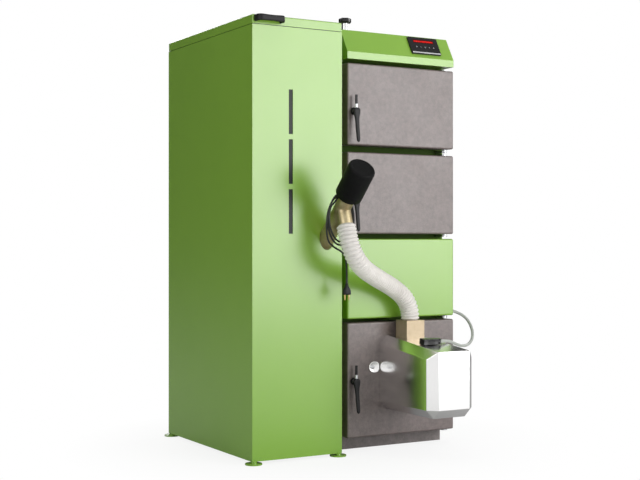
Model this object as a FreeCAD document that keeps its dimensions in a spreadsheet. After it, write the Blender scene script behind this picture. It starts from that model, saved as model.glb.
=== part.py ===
import FreeCAD
import Part
import math
import os
import Sketcher
from types import SimpleNamespace
from FreeCAD import Placement, Rotation, Vector

# A pellet boiler with a tall hopper on its left, in millimetres.
# The origin is on the floor under the middle of the boiler: X right, Y to the back, Z up.

SIZES = {
    # Boiler body
    "body_width": 480,
    "body_depth": 600,
    "sheet": 2,
    "plinth_width": 458,
    "plinth_height": 65,
    "plinth_wall": 4,
    "plinth_leg": 60,
    # Water vessel and its chambers
    "side_board": 40,
    "back_board": 45,
    "vessel_roof": 103,
    "chamber_side": 35,
    "back_water": 40,
    "chamber_inset": 45,
    "collar_wall": 18,
    "gasket_depth": 6,
    "gasket_inset": 3,
    "fire_tube_bore": 56,
    "fire_tube_count": 4,
    "fire_tube_step": 80,
    "fire_tube_y": 150,
    "turbulator_width": 42,
    "turbulator_gauge": 3,
    "turbulator_hook": 62,
    "board_gap": 1,
    # Doors and the fixed cover between them
    "front_stand": 84.5,
    "front_inset": 9,
    "front_round": 6,
    "door_depth": 56,
    "door_rim": 20,
    "door_skin": 4,
    "lower_door_base": 53,
    "lower_door_height": 408,
    "cover_gap": 14,
    "cover_height": 284,
    "middle_door_gap": 18,
    "middle_door_height": 290,
    "upper_door_gap": 25,
    "upper_door_height": 290,
    "hinge_inset": 10,
    "hinge_seat": 6.5,
    "hinge_pin": 10,
    "hinge_pin_reach": 25,
    "hinge_arm": 8,
    "hinge_arm_gap": 2,
    "hinge_knuckle": 26,
    # Door handles
    "handle_inset": 25,
    "lower_handle_rise": 202,
    "middle_handle_rise": 119,
    "upper_handle_rise": 119,
    "handle_shaft": 12,
    "handle_hub": 30,
    "handle_hub_depth": 16,
    "handle_drop": 112,
    "handle_width": 17,
    "handle_gauge": 12,
    "handle_splay": 13,
    "handle_tail": 57,
    "handle_tail_width": 9,
    "latch_disc": 34,
    "latch_gauge": 5,
    # Console and controller
    "console_gap": 15,
    "console_height": 109,
    "console_lip": 25,
    "console_slope_depth": 48,
    "controller_left": 49,
    "controller_width": 128,
    "controller_length": 74,
    "controller_plate": 7,
    "controller_start": 15,
    "controller_body_inset": 8,
    "controller_body_depth": 28,
    "display_width": 91,
    "display_length": 15,
    "display_start": 48,
    "display_depth": 2,
    "button_size": 8,
    "button_step": 19,
    "button_start": 25,
    "button_height": 3,
    "button_proud": 1.2,
    # Bypass damper on the top
    "damper_y": 15,
    "damper_rod": 14,
    "damper_stem": 28,
    "damper_stand": 95,
    "damper_plate": 130,
    "damper_plate_gauge": 6,
    "damper_lift": 75,
    "bypass_bore": 100,
    "bush_width": 46,
    "bush_stand": 16,
    "bush_flange": 4,
    "knob_width": 51,
    "knob_height": 21,
    "knob_lobes": 6,
    "knob_flute": 8,
    # Connections at the back
    "flue_width": 150,
    "flue_wall": 3,
    "flue_stand": 60,
    "socket_width": 54,
    "socket_bore": 38,
    "socket_stand": 30,
    "flow_x": 120,
    "flow_drop": 50,
    "return_x": -120,
    "return_z": 150,
    "drain_x": 120,
    "drain_z": 120,
    # Hopper
    "hopper_gap": 32,
    "hopper_width": 350,
    "hopper_depth": 715,
    "hopper_stand": 114.5,
    "hopper_top": 1480,
    "foot_height": 11,
    "foot_width": 58,
    "foot_disc": 5,
    "foot_stub": 22,
    "foot_inset": 10,
    "base_gauge": 3,
    "bin_wall": 2,
    "bin_gap": 4,
    "bin_taper_top": 766,
    "bin_outlet_z": 645,
    "bin_outlet_width": 50,
    "bin_outlet_inset": 169.5,
    "bin_outlet_depth": 80,
    "bin_rim": 28,
    "slot_inset": 203,
    "slot_width": 16,
    "slot_lap": 8,
    "slot_low": 776,
    "slot_height": 152,
    "slot_step": 170,
    "slot_count": 3,
    # Lid
    "lid_height": 31,
    "lid_gap": 2,
    "lid_round": 4,
    "lid_skin": 2,
    "lid_hinge_back": 9,
    "lid_hinge_rise": 6,
    "lid_barrel": 12,
    "lid_pin": 6,
    "lid_knuckle": 30,
    "lid_hinge_inset": 70,
    "seal_width": 10,
    "grip_left": 5,
    "grip_length": 111,
    "grip_stand": 33,
    "grip_height": 24,
    "grip_bar": 11,
    "grip_rise": 8,
    "grip_post": 14,
    "grip_round": 7,
    # Auger
    "auger_inset": 60,
    "auger_exit_z": 762,
    "auger_tilt": 45,
    "auger_tube": 57,
    "auger_wall": 2.5,
    "auger_inner_length": 400,
    "auger_outer_length": 195,
    "auger_hole_gap": 1,
    "screw_shaft": 14,
    "screw_width": 48,
    "screw_gauge": 4,
    "screw_pitch": 80,
    "screw_start": 20,
    "motor_width": 94,
    "motor_length": 125,
    "motor_foot": 8,
    "motor_foot_width": 78,
    "motor_round": 6,
    "motor_gland": 11,
    "motor_gland_length": 14,
    "running_fit": 0.1,
    "spout_width": 50,
    "spout_wall": 2,
    "spout_station": 148.5,
    "spout_tilt": 18.3,
    "spout_reach": 65,
    "spout_insert": 25,
    # Feed hose
    "hose_crest": 66,
    "hose_root": 58,
    "hose_fit": 0.3,
    "hose_ribs": 44,
    "hose_cuff": 8,
    # Burner
    "burner_x": -4,
    "burner_reach": 324.5,
    "burner_rise": 95,
    "burner_height": 229,
    "burner_slope_rise": 37.4,
    "burner_width": 190,
    "burner_chamfer": 30,
    "burner_wall": 3,
    "neck_reach": 90.5,
    "neck_width": 126,
    "neck_rise": 112,
    "neck_height": 234,
    "flange_width": 143,
    "flange_gauge": 6,
    "burner_tube_width": 130,
    "burner_tube_wall": 5,
    "burner_tube_rise": 217,
    "burner_tube_reach": 154.5,
    "drop_bore": 46,
    "fan_width": 130,
    "fan_depth": 38,
    "fan_rise": 212,
    "fan_hub": 30,
    "fan_blades": 10,
    "fan_blade_gauge": 3,
    "fan_plate": 3,
    "fan_motor_width": 64,
    "fan_motor_depth": 45,
    "fan_gap": 6,
    "fan_shaft": 8,
    "chute_width": 75,
    "chute_depth": 70,
    "chute_height": 69,
    "chute_wall": 3,
    "chute_reach": 52.5,
    "connector_left": -57,
    "connector_length": 63,
    "connector_depth": 30,
    "connector_height": 23,
    "connector_reach": 205.5,
    "connector_prong": 16,
    "connector_prong_gauge": 3,
    "cord_straight": 14,
    "peephole_x": -128,
    "peephole_rise": 248,
    "peephole_length": 42,
    "peephole_height": 40,
    "peephole_gauge": 4,
    "peephole_gap": 0.5,
    "peephole_bore": 8,
    "peephole_offset": 20,
    "peephole_stud": 8,
    # Ash pan
    "ash_side": 15,
    "ash_depth": 430,
    "ash_height": 55,
    "ash_wall": 2,
    "ash_front_gap": 20,
    # Cables
    "cable_width": 11,
    "gland_width": 22,
    "gland_length": 14,
    "gland_inset": 44.5,
    "gland_rise": 15,
    "lead_width": 6.5,
    "lead_loops": 3,
    "lead_loop_width": 100,
    "lead_loop_step": 9,
    "plug_width": 30,
    "plug_depth": 20,
    "plug_height": 40,
    "plug_pin": 5,
    "plug_pin_length": 19,
    "plug_pin_step": 16,
}

# Sizes that follow from the others, one piece on the next

FOLLOWING = {
    "vessel_width": "=body_width - 2 * side_board",
    "vessel_back": "=body_depth / 2 - back_board",
    "chamber_width": "=vessel_width - 2 * chamber_side",
    "chamber_back": "=vessel_back - back_water",
    "ash_width": "=chamber_width - 2 * ash_side",
    "front_reach": "=body_depth / 2 + front_stand",
    "front_width": "=body_width - 2 * front_inset",
    "handle_x": "=handle_inset - front_width / 2",
    "hopper_front": "=body_depth / 2 + hopper_stand",
    "auger_x": "=0 - body_width / 2 - hopper_gap - auger_inset",
    "slot_x": "=0 - body_width / 2 - hopper_gap - slot_inset",
    "bin_outlet_front": "=bin_outlet_inset - hopper_front",
    "burner_front": "=front_reach + burner_reach",
    "burner_tube_end": "=front_reach - burner_tube_reach",
    "neck_front": "=front_reach + neck_reach",
    "chute_y": "=0 - front_reach - chute_reach",
    "connector_y": "=0 - front_reach - connector_reach",
    "gland_y": "=gland_inset - front_reach",
    "cover_base": "=lower_door_base + lower_door_height + cover_gap",
    "middle_door_base": "=cover_base + cover_height + middle_door_gap",
    "upper_door_base": "=middle_door_base + middle_door_height + upper_door_gap",
    "console_base": "=upper_door_base + upper_door_height + console_gap",
    "body_height": "=console_base + console_height",
    "vessel_top": "=upper_door_base + upper_door_height - chamber_inset + vessel_roof",
    "lower_handle_z": "=lower_door_base + lower_handle_rise",
    "middle_handle_z": "=middle_door_base + middle_handle_rise",
    "upper_handle_z": "=upper_door_base + upper_handle_rise",
    "damper_top": "=body_height + damper_stand",
    "flue_z": "=upper_door_base + upper_door_height / 2",
    "flow_z": "=vessel_top - flow_drop",
    "gland_z": "=cover_base + gland_rise",
    "burner_base": "=lower_door_base + burner_rise",
    "burner_front_top": "=burner_base + burner_height",
    "burner_back_top": "=burner_front_top + burner_slope_rise",
    "neck_base": "=lower_door_base + neck_rise",
    "neck_top": "=neck_base + neck_height",
    "burner_tube_z": "=lower_door_base + burner_tube_rise",
    "fan_z": "=lower_door_base + fan_rise",
    "peephole_z": "=lower_door_base + peephole_rise",
}

doc = FreeCAD.newDocument("pellet_boiler")
sheet = doc.addObject("Spreadsheet::Sheet", "sizes")
for row, (alias, amount) in enumerate({**SIZES, **FOLLOWING}.items(), start=1):
    sheet.set(f"A{row}", alias)
    sheet.set(f"B{row}", str(amount))
    sheet.setAlias(f"B{row}", alias)
doc.recompute()


class Dim:
    """A size from the sheet, or a sum of sizes, with its number and its formula."""

    def __init__(self, value, text):
        self.value = float(value)
        self.text = text

    def __float__(self):
        return self.value

    def joined(self, other, sign, value):
        return Dim(value, f"({self.text} {sign} {dim(other).text})")

    def __add__(self, other):
        return self.joined(other, "+", self.value + float(other))

    def __sub__(self, other):
        return self.joined(other, "-", self.value - float(other))

    def __mul__(self, other):
        return self.joined(other, "*", self.value * float(other))

    def __truediv__(self, other):
        return self.joined(other, "/", self.value / float(other))

    def __radd__(self, other):
        return dim(other) + self

    def __rsub__(self, other):
        return dim(other) - self

    def __rmul__(self, other):
        return dim(other) * self

    def __neg__(self):
        return Dim(-self.value, f"(0 - {self.text})")


def dim(value):
    """A plain number as a size, or the size itself."""
    return value if isinstance(value, Dim) else Dim(value, f"({float(value)!r})")


def bind(thing, path, value):
    """Tie one property of an object to the sheet."""
    thing.setExpression(path, dim(value).text)


S = SimpleNamespace(**{alias: Dim(sheet.get(alias), f"sizes.{alias}") for alias in {**SIZES, **FOLLOWING}})
PIECES = []
AXIS_TURN = {
    "x": Rotation(Vector(0, 0, 1), Vector(1, 0, 0)),
    "y": Rotation(Vector(0, 0, 1), Vector(0, 1, 0)),
    "z": Rotation(),
}


def piece(thing, label):
    """Name a finished sub-part and keep it for writing."""
    thing.Label = label
    PIECES.append(thing)
    return thing


def box(name, xs, ys, zs):
    """A block between two limits along each axis."""
    block = doc.addObject("Part::Box", name)
    for side, axis, (low, high) in zip(("Length", "Width", "Height"), "xyz", (xs, ys, zs)):
        bind(block, side, dim(high) - low)
        bind(block, f"Placement.Base.{axis}", low)
    return block


def rod(name, axis, start, length, width):
    """A round bar of one diameter from a start point along one axis."""
    bar = doc.addObject("Part::Cylinder", name)
    bar.Placement.Rotation = AXIS_TURN[axis]
    bind(bar, "Radius", dim(width) / 2)
    bind(bar, "Height", length)
    for letter, place in zip("xyz", start):
        bind(bar, f"Placement.Base.{letter}", place)
    return bar


def frustum(name, low, high, zs):
    """A tapered block between two rectangles, each given as x limits and y limits."""
    wedge = doc.addObject("Part::Wedge", name)
    wedge.Placement.Rotation = Rotation(Vector(1, 0, 0), 90)
    (low_xs, low_ys), (high_xs, high_ys) = low, high
    limits = {"Xmin": low_xs[0], "Xmax": low_xs[1], "Zmin": -dim(low_ys[1]), "Zmax": -dim(low_ys[0]),
              "X2min": high_xs[0], "X2max": high_xs[1], "Z2min": -dim(high_ys[1]), "Z2max": -dim(high_ys[0]),
              "Ymin": zs[0], "Ymax": zs[1]}
    for limit, value in limits.items():
        bind(wedge, limit, value)
    return wedge


def fuse(name, *parts):
    """Several shapes joined into one solid."""
    joined = doc.addObject("Part::MultiFuse", name)
    joined.Shapes = list(parts)
    joined.Refine = True
    return joined


def cut(name, base, *tools):
    """A shape with others taken away from it."""
    result = doc.addObject("Part::Cut", name)
    result.Base = base
    result.Tool = tools[0] if len(tools) == 1 else group(f"{name}_cutters", *tools)
    return result


def group(name, *parts):
    """Separate solids kept in one sub-part."""
    bundle = doc.addObject("Part::Compound", name)
    bundle.Links = list(parts)
    return bundle


def rounded(name, base, width, chosen):
    """A shape with the chosen edges rounded."""
    doc.recompute()
    result = doc.addObject("Part::Fillet", name)
    result.Base = base
    radius = float(width)
    result.Edges = [(i, radius, radius) for i, edge in enumerate(base.Shape.Edges, 1) if chosen(edge)]
    return result


def feature(name, shape, place=None):
    """A shape made in code from the sheet's sizes."""
    made = doc.addObject("Part::Feature", name)
    made.Shape = shape
    made.Placement = place or Placement()
    return made


def sketch(body, name, role, points, offset):
    """A closed outline on an origin plane, each corner tied to the sheet."""
    outline = body.newObject("Sketcher::SketchObject", name)
    plane = [part for part in body.Origin.OriginFeatures if part.Role == role][0]
    outline.AttachmentSupport = [(plane, "")]
    outline.MapMode = "FlatFace"
    bind(outline, "AttachmentOffset.Base.z", offset)
    corners = [Vector(float(across), float(up), 0) for across, up in points]
    for i, corner in enumerate(corners):
        outline.addGeometry(Part.LineSegment(corner, corners[(i + 1) % len(corners)]))
    for i in range(len(corners)):
        outline.addConstraint(Sketcher.Constraint("Coincident", i, 2, (i + 1) % len(corners), 1))
    for i, point in enumerate(points):
        for kind, place in zip(("DistanceX", "DistanceY"), point):
            number = outline.addConstraint(Sketcher.Constraint(kind, -1, 1, i, 1, float(place)))
            bind(outline, f"Constraints[{number}]", place)
    return outline


def padded(name, role, points, depth, offset=0):
    """A body padded from one outline, away from its origin plane."""
    body = doc.addObject("PartDesign::Body", name)
    pad = body.newObject("PartDesign::Pad", f"{name}_pad")
    pad.Profile = sketch(body, f"{name}_outline", role, points, offset)
    bind(pad, "Length", depth)
    doc.recompute()
    return body


def pocketed(body, role, points, depth, offset=0):
    """Take a pocket out of a body, on the same side of its plane as the pad."""
    full = body.Shape.Volume
    pocket = body.newObject("PartDesign::Pocket", f"{body.Name}_pocket")
    pocket.Profile = sketch(body, f"{body.Name}_pocket_outline", role, points, offset)
    pocket.Reversed = True
    bind(pocket, "Length", depth)
    body.Tip = pocket
    doc.recompute()
    if body.Shape.Volume >= full:
        raise RuntimeError(f"{body.Name}: the pocket cut nothing")
    return body


def dressed(body, kind, size_name, size, chosen):
    """Round or chamfer the chosen edges of a body."""
    names = [f"Edge{i}" for i, edge in enumerate(body.Shape.Edges, 1) if chosen(edge)]
    base = body.Tip
    dress = body.newObject(f"PartDesign::{kind}", f"{body.Name}_{kind.lower()}")
    dress.Base = (base, names)
    bind(dress, size_name, size)
    body.Tip = dress
    doc.recompute()
    return body


def rectangle(xs, ys):
    """The four corners of a rectangle."""
    return [(xs[0], ys[0]), (xs[1], ys[0]), (xs[1], ys[1]), (xs[0], ys[1])]


def about(width, middle=0):
    """The two limits of a width about its middle."""
    return (dim(middle) - dim(width) / 2, dim(middle) + dim(width) / 2)


def runs_along(edge, axis):
    """True for a straight edge along one axis."""
    way = edge.Vertexes[-1].Point - edge.Vertexes[0].Point
    return way.Length > 0 and abs(way.dot(axis)) > 0.999 * way.Length


X_AXIS, Y_AXIS, Z_AXIS = Vector(1, 0, 0), Vector(0, 1, 0), Vector(0, 0, 1)

# Shared planes and limits

half_width, half_depth = S.body_width / 2, S.body_depth / 2
front_plane = -S.front_reach
door_back = front_plane + S.door_depth
jacket_front = -half_depth
collar_front = door_back + S.hose_fit + S.gasket_depth
hinge_x = S.front_width / 2 - S.hinge_inset
hinge_y = door_back - S.hinge_seat
DOORS = {
    "lower": (S.lower_door_base, S.lower_door_height, S.lower_handle_z),
    "middle": (S.middle_door_base, S.middle_door_height, S.middle_handle_z),
    "upper": (S.upper_door_base, S.upper_door_height, S.upper_handle_z),
}


def inset_z(door, inset):
    """The z limits of a door's opening, drawn in from the door's edges."""
    base, height, _ = DOORS[door]
    return (base + inset, base + height - inset)


# Plinth

plinth = cut("plinth_frame",
             box("plinth_block", about(S.plinth_width), about(S.body_depth), (0, S.plinth_height)),
             box("plinth_hollow", about(S.plinth_width - 2 * S.plinth_wall),
                 about(S.body_depth - 2 * S.plinth_wall), (-1, S.plinth_height - S.plinth_wall)))
leg = box("plinth_centre_leg", about(S.plinth_leg), about(S.plinth_leg), (0, S.plinth_height - S.plinth_wall))
piece(fuse("plinth_set", plinth, leg), "boiler_plinth")

# Water vessel with three chambers, fire tubes, a bypass opening and the flue outlet

vessel_front = jacket_front + S.sheet + S.board_gap
collar_inset = S.chamber_inset - S.collar_wall
collar_width = S.chamber_width + 2 * S.collar_wall
tube_row = [(i - (SIZES["fire_tube_count"] - 1) / 2) * S.fire_tube_step for i in range(SIZES["fire_tube_count"])]
tube_spans = [(inset_z("lower", S.chamber_inset)[1], inset_z("middle", S.chamber_inset)[0]),
              (inset_z("middle", S.chamber_inset)[1], inset_z("upper", S.chamber_inset)[0])]
shelf_low, shelf_high = tube_spans[1]
upper_roof = inset_z("upper", S.chamber_inset)[1]
SOCKETS = {"flow": (S.flow_x, S.flow_z), "return": (S.return_x, S.return_z), "drain": (S.drain_x, S.drain_z)}


vessel_half, chamber_half = S.vessel_width / 2, S.chamber_width / 2
vessel_zs = (S.plinth_height, S.vessel_top)


def bank(name, zs, bores):
    """A water block between two chambers, with round ways up through it."""
    over = S.board_gap
    block = box(f"{name}_block", about(S.chamber_width), (vessel_front, S.chamber_back), zs)
    ways = [rod(f"{name}_bore", "z", (x, y, zs[0] - over), zs[1] - zs[0] + 2 * over, width) for x, y, width in bores]
    return cut(name, block, *ways)


tube_bores = [(tube_x, S.fire_tube_y, S.fire_tube_bore) for tube_x in tube_row]
vessel_parts = [box(f"water_wall_{name}", limits, (vessel_front, S.vessel_back), vessel_zs)
                for name, limits in (("left", (-vessel_half, -chamber_half)), ("right", (chamber_half, vessel_half)))]
vessel_parts.append(cut("water_wall_back",
                        box("back_block", about(S.chamber_width), (S.chamber_back, S.vessel_back), vessel_zs),
                        rod("flue_hole", "y", (0, S.chamber_back - 1, S.flue_z), S.vessel_back, S.flue_width
                            - 2 * S.flue_wall)))
vessel_parts.append(box("vessel_base", about(S.chamber_width), (vessel_front, S.chamber_back),
                        (S.plinth_height, inset_z("lower", S.chamber_inset)[0])))
vessel_parts.append(bank("lower_bank", tube_spans[0], tube_bores))
vessel_parts.append(bank("upper_bank", tube_spans[1], tube_bores + [(0, S.damper_y, S.bypass_bore)]))
vessel_parts.append(bank("vessel_crown", (upper_roof, S.vessel_top), [(0, S.damper_y, S.bush_width)]))
for door in DOORS:
    ring = box(f"{door}_collar_block", about(collar_width), (collar_front, vessel_front), inset_z(door, collar_inset))
    mouth = box(f"{door}_mouth", about(S.chamber_width), (collar_front - 1, vessel_front + 1),
                inset_z(door, S.chamber_inset))
    vessel_parts.append(cut(f"{door}_collar", ring, mouth))
piece(group("vessel", *vessel_parts), "boiler_vessel")

# Turbulator strips hang in the fire tubes by a cross bar

strips = []
for tube_x in tube_row:
    low, high = tube_spans[0]
    blade = box("turbulator_blade", about(S.turbulator_width, tube_x),
                about(S.turbulator_gauge, S.fire_tube_y), (low + S.fire_tube_bore, high + S.turbulator_gauge))
    bar = box("turbulator_bar", about(S.turbulator_hook, tube_x), about(S.turbulator_gauge, S.fire_tube_y),
              (high, high + S.turbulator_gauge))
    strips.append(fuse("turbulator", blade, bar))
piece(group("turbulator_strips", *strips), "turbulators")

# Ash pan on the furnace floor

ash_floor = inset_z("lower", S.chamber_inset)[0]
ash_front = vessel_front + S.ash_front_gap
pan = cut("ash_tray",
          box("ash_block", about(S.ash_width), (ash_front, ash_front + S.ash_depth),
              (ash_floor, ash_floor + S.ash_height)),
          box("ash_hollow", about(S.ash_width - 2 * S.ash_wall),
              (ash_front + S.ash_wall, ash_front + S.ash_depth - S.ash_wall),
              (ash_floor + S.ash_wall, ash_floor + S.ash_height + 1)))
piece(pan, "ash_pan")

# Jacket sheets round the vessel

jacket_top_z = S.body_height - S.sheet
inner_x, inner_back = half_width - S.sheet, half_depth - S.sheet
side_zs = (S.plinth_height, jacket_top_z)
for side, limits in (("left", (-half_width, -inner_x)), ("right", (inner_x, half_width))):
    piece(padded(f"{side}_jacket_sheet", "XY_Plane", rectangle(limits, (jacket_front, half_depth)),
                 side_zs[1] - side_zs[0], side_zs[0]), f"jacket_{side}_panel")
back_sheet = padded("back_jacket_sheet", "XZ_Plane", rectangle((-inner_x, inner_x), side_zs), S.sheet, -half_depth)
back_start, back_reach = S.vessel_back + S.board_gap, half_depth + 1 - S.vessel_back
back_holes = [rod("flue_way", "y", (0, back_start, S.flue_z), back_reach, S.flue_width + 2 * S.board_gap)]
for name, (socket_x, socket_z) in SOCKETS.items():
    back_holes.append(rod(f"{name}_way", "y", (socket_x, back_start, socket_z), back_reach,
                          S.socket_width + 2 * S.board_gap))
piece(cut("jacket_back", back_sheet, *back_holes), "jacket_back_panel")
bush_way = rod("bush_way", "z", (0, S.damper_y, S.vessel_top), S.body_height, S.bush_width + 2 * S.board_gap)
piece(cut("top_sheet", box("top_blank", about(S.body_width), about(S.body_depth), (jacket_top_z, S.body_height)),
          bush_way), "jacket_top_panel")
front_windows = []
for door in DOORS:
    low, high = inset_z(door, collar_inset - S.board_gap)
    front_windows.append(box(f"{door}_window", about(collar_width + 2 * S.board_gap),
                             (jacket_front - 1, jacket_front + S.sheet + 1), (low, high)))
piece(cut("front_sheet", box("front_blank", about(S.body_width - 2 * S.sheet),
                             (jacket_front, jacket_front + S.sheet), (S.plinth_height, jacket_top_z)),
          *front_windows), "jacket_front_frame")

# Insulation boards between the vessel and the jacket

board_front, board_low = vessel_front, S.plinth_height
board_inner, board_outer = S.vessel_width / 2, inner_x
side_boards = [box(f"board_{name}", limits, (board_front, inner_back), (board_low, S.vessel_top))
               for name, limits in (("left", (-board_outer, -board_inner)), ("right", (board_inner, board_outer)))]
back_board = cut("board_back", box("board_back_blank", about(S.vessel_width), (S.vessel_back, inner_back),
                                   (board_low, S.vessel_top)),
                 *[rod("board_hole", "y", (x, S.vessel_back - 1, z), S.body_depth, width + 2 * S.board_gap)
                   for x, z, width in [(0, S.flue_z, S.flue_width)]
                   + [(x, z, S.socket_width) for x, z in SOCKETS.values()]])
top_board = cut("board_top", box("board_top_blank", about(2 * inner_x), (board_front, inner_back),
                                 (S.vessel_top, jacket_top_z)),
                rod("board_bush", "z", (0, S.damper_y, S.vessel_top - 1), S.body_height,
                    S.bush_width + 2 * S.board_gap))
piece(group("boards", *side_boards, back_board, top_board), "insulation_boards")

# Flue stub and water sockets at the back

flue_reach = half_depth + S.flue_stand - S.vessel_back
piece(cut("flue_pipe", rod("flue_outer", "y", (0, S.vessel_back, S.flue_z), flue_reach, S.flue_width),
          rod("flue_bore", "y", (0, S.vessel_back - 1, S.flue_z), flue_reach + 2,
              S.flue_width - 2 * S.flue_wall)), "flue_stub")
sockets = []
socket_reach = half_depth + S.socket_stand - S.vessel_back
for name, (socket_x, socket_z) in SOCKETS.items():
    sockets.append(cut(f"{name}_socket",
                       rod(f"{name}_outer", "y", (socket_x, S.vessel_back, socket_z), socket_reach,
                           S.socket_width),
                       rod(f"{name}_bore", "y", (socket_x, S.vessel_back + S.sheet, socket_z), socket_reach,
                           S.socket_bore)))
piece(group("sockets", *sockets), "water_sockets")

# Front pieces: pressed trays with rounded front edges, for the doors and the fixed cover


def front_tray(name, zs, depth, skin, rim):
    """A tray open to the back, with its front face on the shared front plane."""
    back = S.front_reach - depth
    tray = padded(name, "XZ_Plane", rectangle(about(S.front_width), zs), depth, back)
    dressed(tray, "Fillet", "Radius", S.front_round,
            lambda edge: runs_along(edge, Y_AXIS) or edge.CenterOfMass.y < float(front_plane) + 1)
    hollow = rectangle(about(S.front_width - 2 * rim), (zs[0] + rim, zs[1] - rim))
    return pocketed(tray, "XZ_Plane", hollow, depth - skin, back)


def handle_hole(name, handle_z):
    """The way of a handle's shaft through its door."""
    return rod(name, "y", (S.handle_x, front_plane - 1, handle_z), S.door_depth + 2,
               S.handle_shaft + 2 * S.running_fit)


def pin_holes(door):
    """The two blind holes for a door's hinge pins."""
    base, height, _ = DOORS[door]
    depth = S.hinge_pin_reach + S.hinge_arm_gap
    width = S.hinge_pin + 2 * S.running_fit
    return [rod(f"{door}_pin_hole_low", "z", (hinge_x, hinge_y, base - 1), depth + 1, width),
            rod(f"{door}_pin_hole_high", "z", (hinge_x, hinge_y, base + height - depth), depth + 1, width)]


tube_way = rod("tube_way", "y", (S.burner_x, front_plane - 1, S.burner_tube_z), S.door_depth + 2,
               S.burner_tube_width + 2 * S.hose_fit)
peephole_centre = S.peephole_x + S.peephole_offset
peephole_way = rod("peephole_way", "y", (peephole_centre, front_plane - 1, S.peephole_z), S.door_depth + 2,
                   S.peephole_bore)
stud_way = rod("stud_way", "y", (S.peephole_x, front_plane - 1, S.peephole_z), S.door_depth,
               S.peephole_stud + 2 * S.running_fit)
for door, (base, height, handle_z) in DOORS.items():
    tray = front_tray(f"{door}_tray", (base, base + height), S.door_depth, S.door_skin, S.door_rim)
    slab = box(f"{door}_slab", about(S.front_width - 2 * S.door_rim), (front_plane + S.door_skin, door_back),
               (base + S.door_rim, base + height - S.door_rim))
    ways = [handle_hole(f"{door}_shaft_way", handle_z)]
    if door == "lower":
        ways += [tube_way, peephole_way, stud_way]
    piece(cut(f"{door}_leaf", tray, *ways, *pin_holes(door)), f"{door}_door")
    piece(cut(f"{door}_lining", slab, *ways), f"{door}_door_liner")
cover_top = S.cover_base + S.cover_height
cover = front_tray("cover_tray", (S.cover_base, cover_top), S.front_reach - half_depth, S.sheet, S.sheet)
gland_way = rod("gland_way", "x", (0, S.gland_y, S.gland_z), S.body_width, S.cable_width)
piece(cut("cover_sheet", cover, gland_way), "front_cover_panel")

# Gaskets on the collars

rings = []
for door in DOORS:
    gasket_edge = collar_inset + S.gasket_inset
    ring = box(f"{door}_ring", about(collar_width - 2 * S.gasket_inset),
               (collar_front - S.gasket_depth, collar_front), inset_z(door, gasket_edge))
    bore = box(f"{door}_ring_bore", about(S.chamber_width + 2 * S.gasket_inset),
               (collar_front - S.gasket_depth - 1, collar_front + 1),
               inset_z(door, S.chamber_inset - S.gasket_inset))
    rings.append(cut(f"{door}_rope", ring, bore))
piece(group("gaskets", *rings), "door_gaskets")

# Hinge arms with their pins, above and below each door


def hinge_arm(name, arm_low, pin_low):
    """An arm from the boiler's front to the hinge axis, with a knuckle and a pin."""
    zs = (arm_low, arm_low + S.hinge_arm)
    arm = box(f"{name}_arm", about(S.hinge_knuckle, hinge_x), (hinge_y, jacket_front), zs)
    knuckle = rod(f"{name}_knuckle", "z", (hinge_x, hinge_y, arm_low), S.hinge_arm, S.hinge_knuckle)
    pin = rod(f"{name}_pin", "z", (hinge_x, hinge_y, pin_low), S.hinge_arm + S.hinge_pin_reach, S.hinge_pin)
    return fuse(name, arm, knuckle, pin)


arms = []
for door, (base, height, _) in DOORS.items():
    below = base - S.hinge_arm_gap - S.hinge_arm
    above = base + height + S.hinge_arm_gap
    arms.append(hinge_arm(f"{door}_hinge_below", below, below))
    arms.append(hinge_arm(f"{door}_hinge_above", above, above - S.hinge_pin_reach))
piece(group("hinges", *arms), "door_hinges")

# Lever handles with their shafts and latch discs

lever_back = front_plane - S.handle_hub_depth
for door, (_, _, handle_z) in DOORS.items():
    shaft_end = door_back + S.latch_gauge + S.hose_fit
    shaft = rod(f"{door}_shaft", "y", (S.handle_x, lever_back, handle_z), shaft_end - lever_back, S.handle_shaft)
    hub = rod(f"{door}_hub", "y", (S.handle_x, lever_back - S.handle_gauge, handle_z),
              S.handle_gauge + S.handle_hub_depth - S.hose_fit, S.handle_hub)
    disc = rod(f"{door}_latch", "y", (S.handle_x, door_back + S.hose_fit, handle_z), S.latch_gauge, S.latch_disc)
    grip = padded(f"{door}_lever", "YZ_Plane",
                  [(lever_back, handle_z), (lever_back - S.handle_splay, handle_z - S.handle_drop),
                   (lever_back - S.handle_splay - S.handle_gauge, handle_z - S.handle_drop),
                   (lever_back - S.handle_gauge, handle_z)],
                  S.handle_width, S.handle_x - S.handle_width / 2)
    dressed(grip, "Fillet", "Radius", S.handle_gauge / 4,
            lambda edge: not runs_along(edge, X_AXIS) and edge.Length > float(S.handle_drop) / 2)
    tail = box(f"{door}_tail", about(S.handle_tail_width, S.handle_x), (lever_back - S.handle_gauge / 2, lever_back),
               (handle_z, handle_z + S.handle_tail))
    piece(fuse(f"{door}_lever_set", shaft, hub, disc, grip, tail), f"{door}_handle")

# Console: a folded sheet with a sloped face, and its controller

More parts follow.
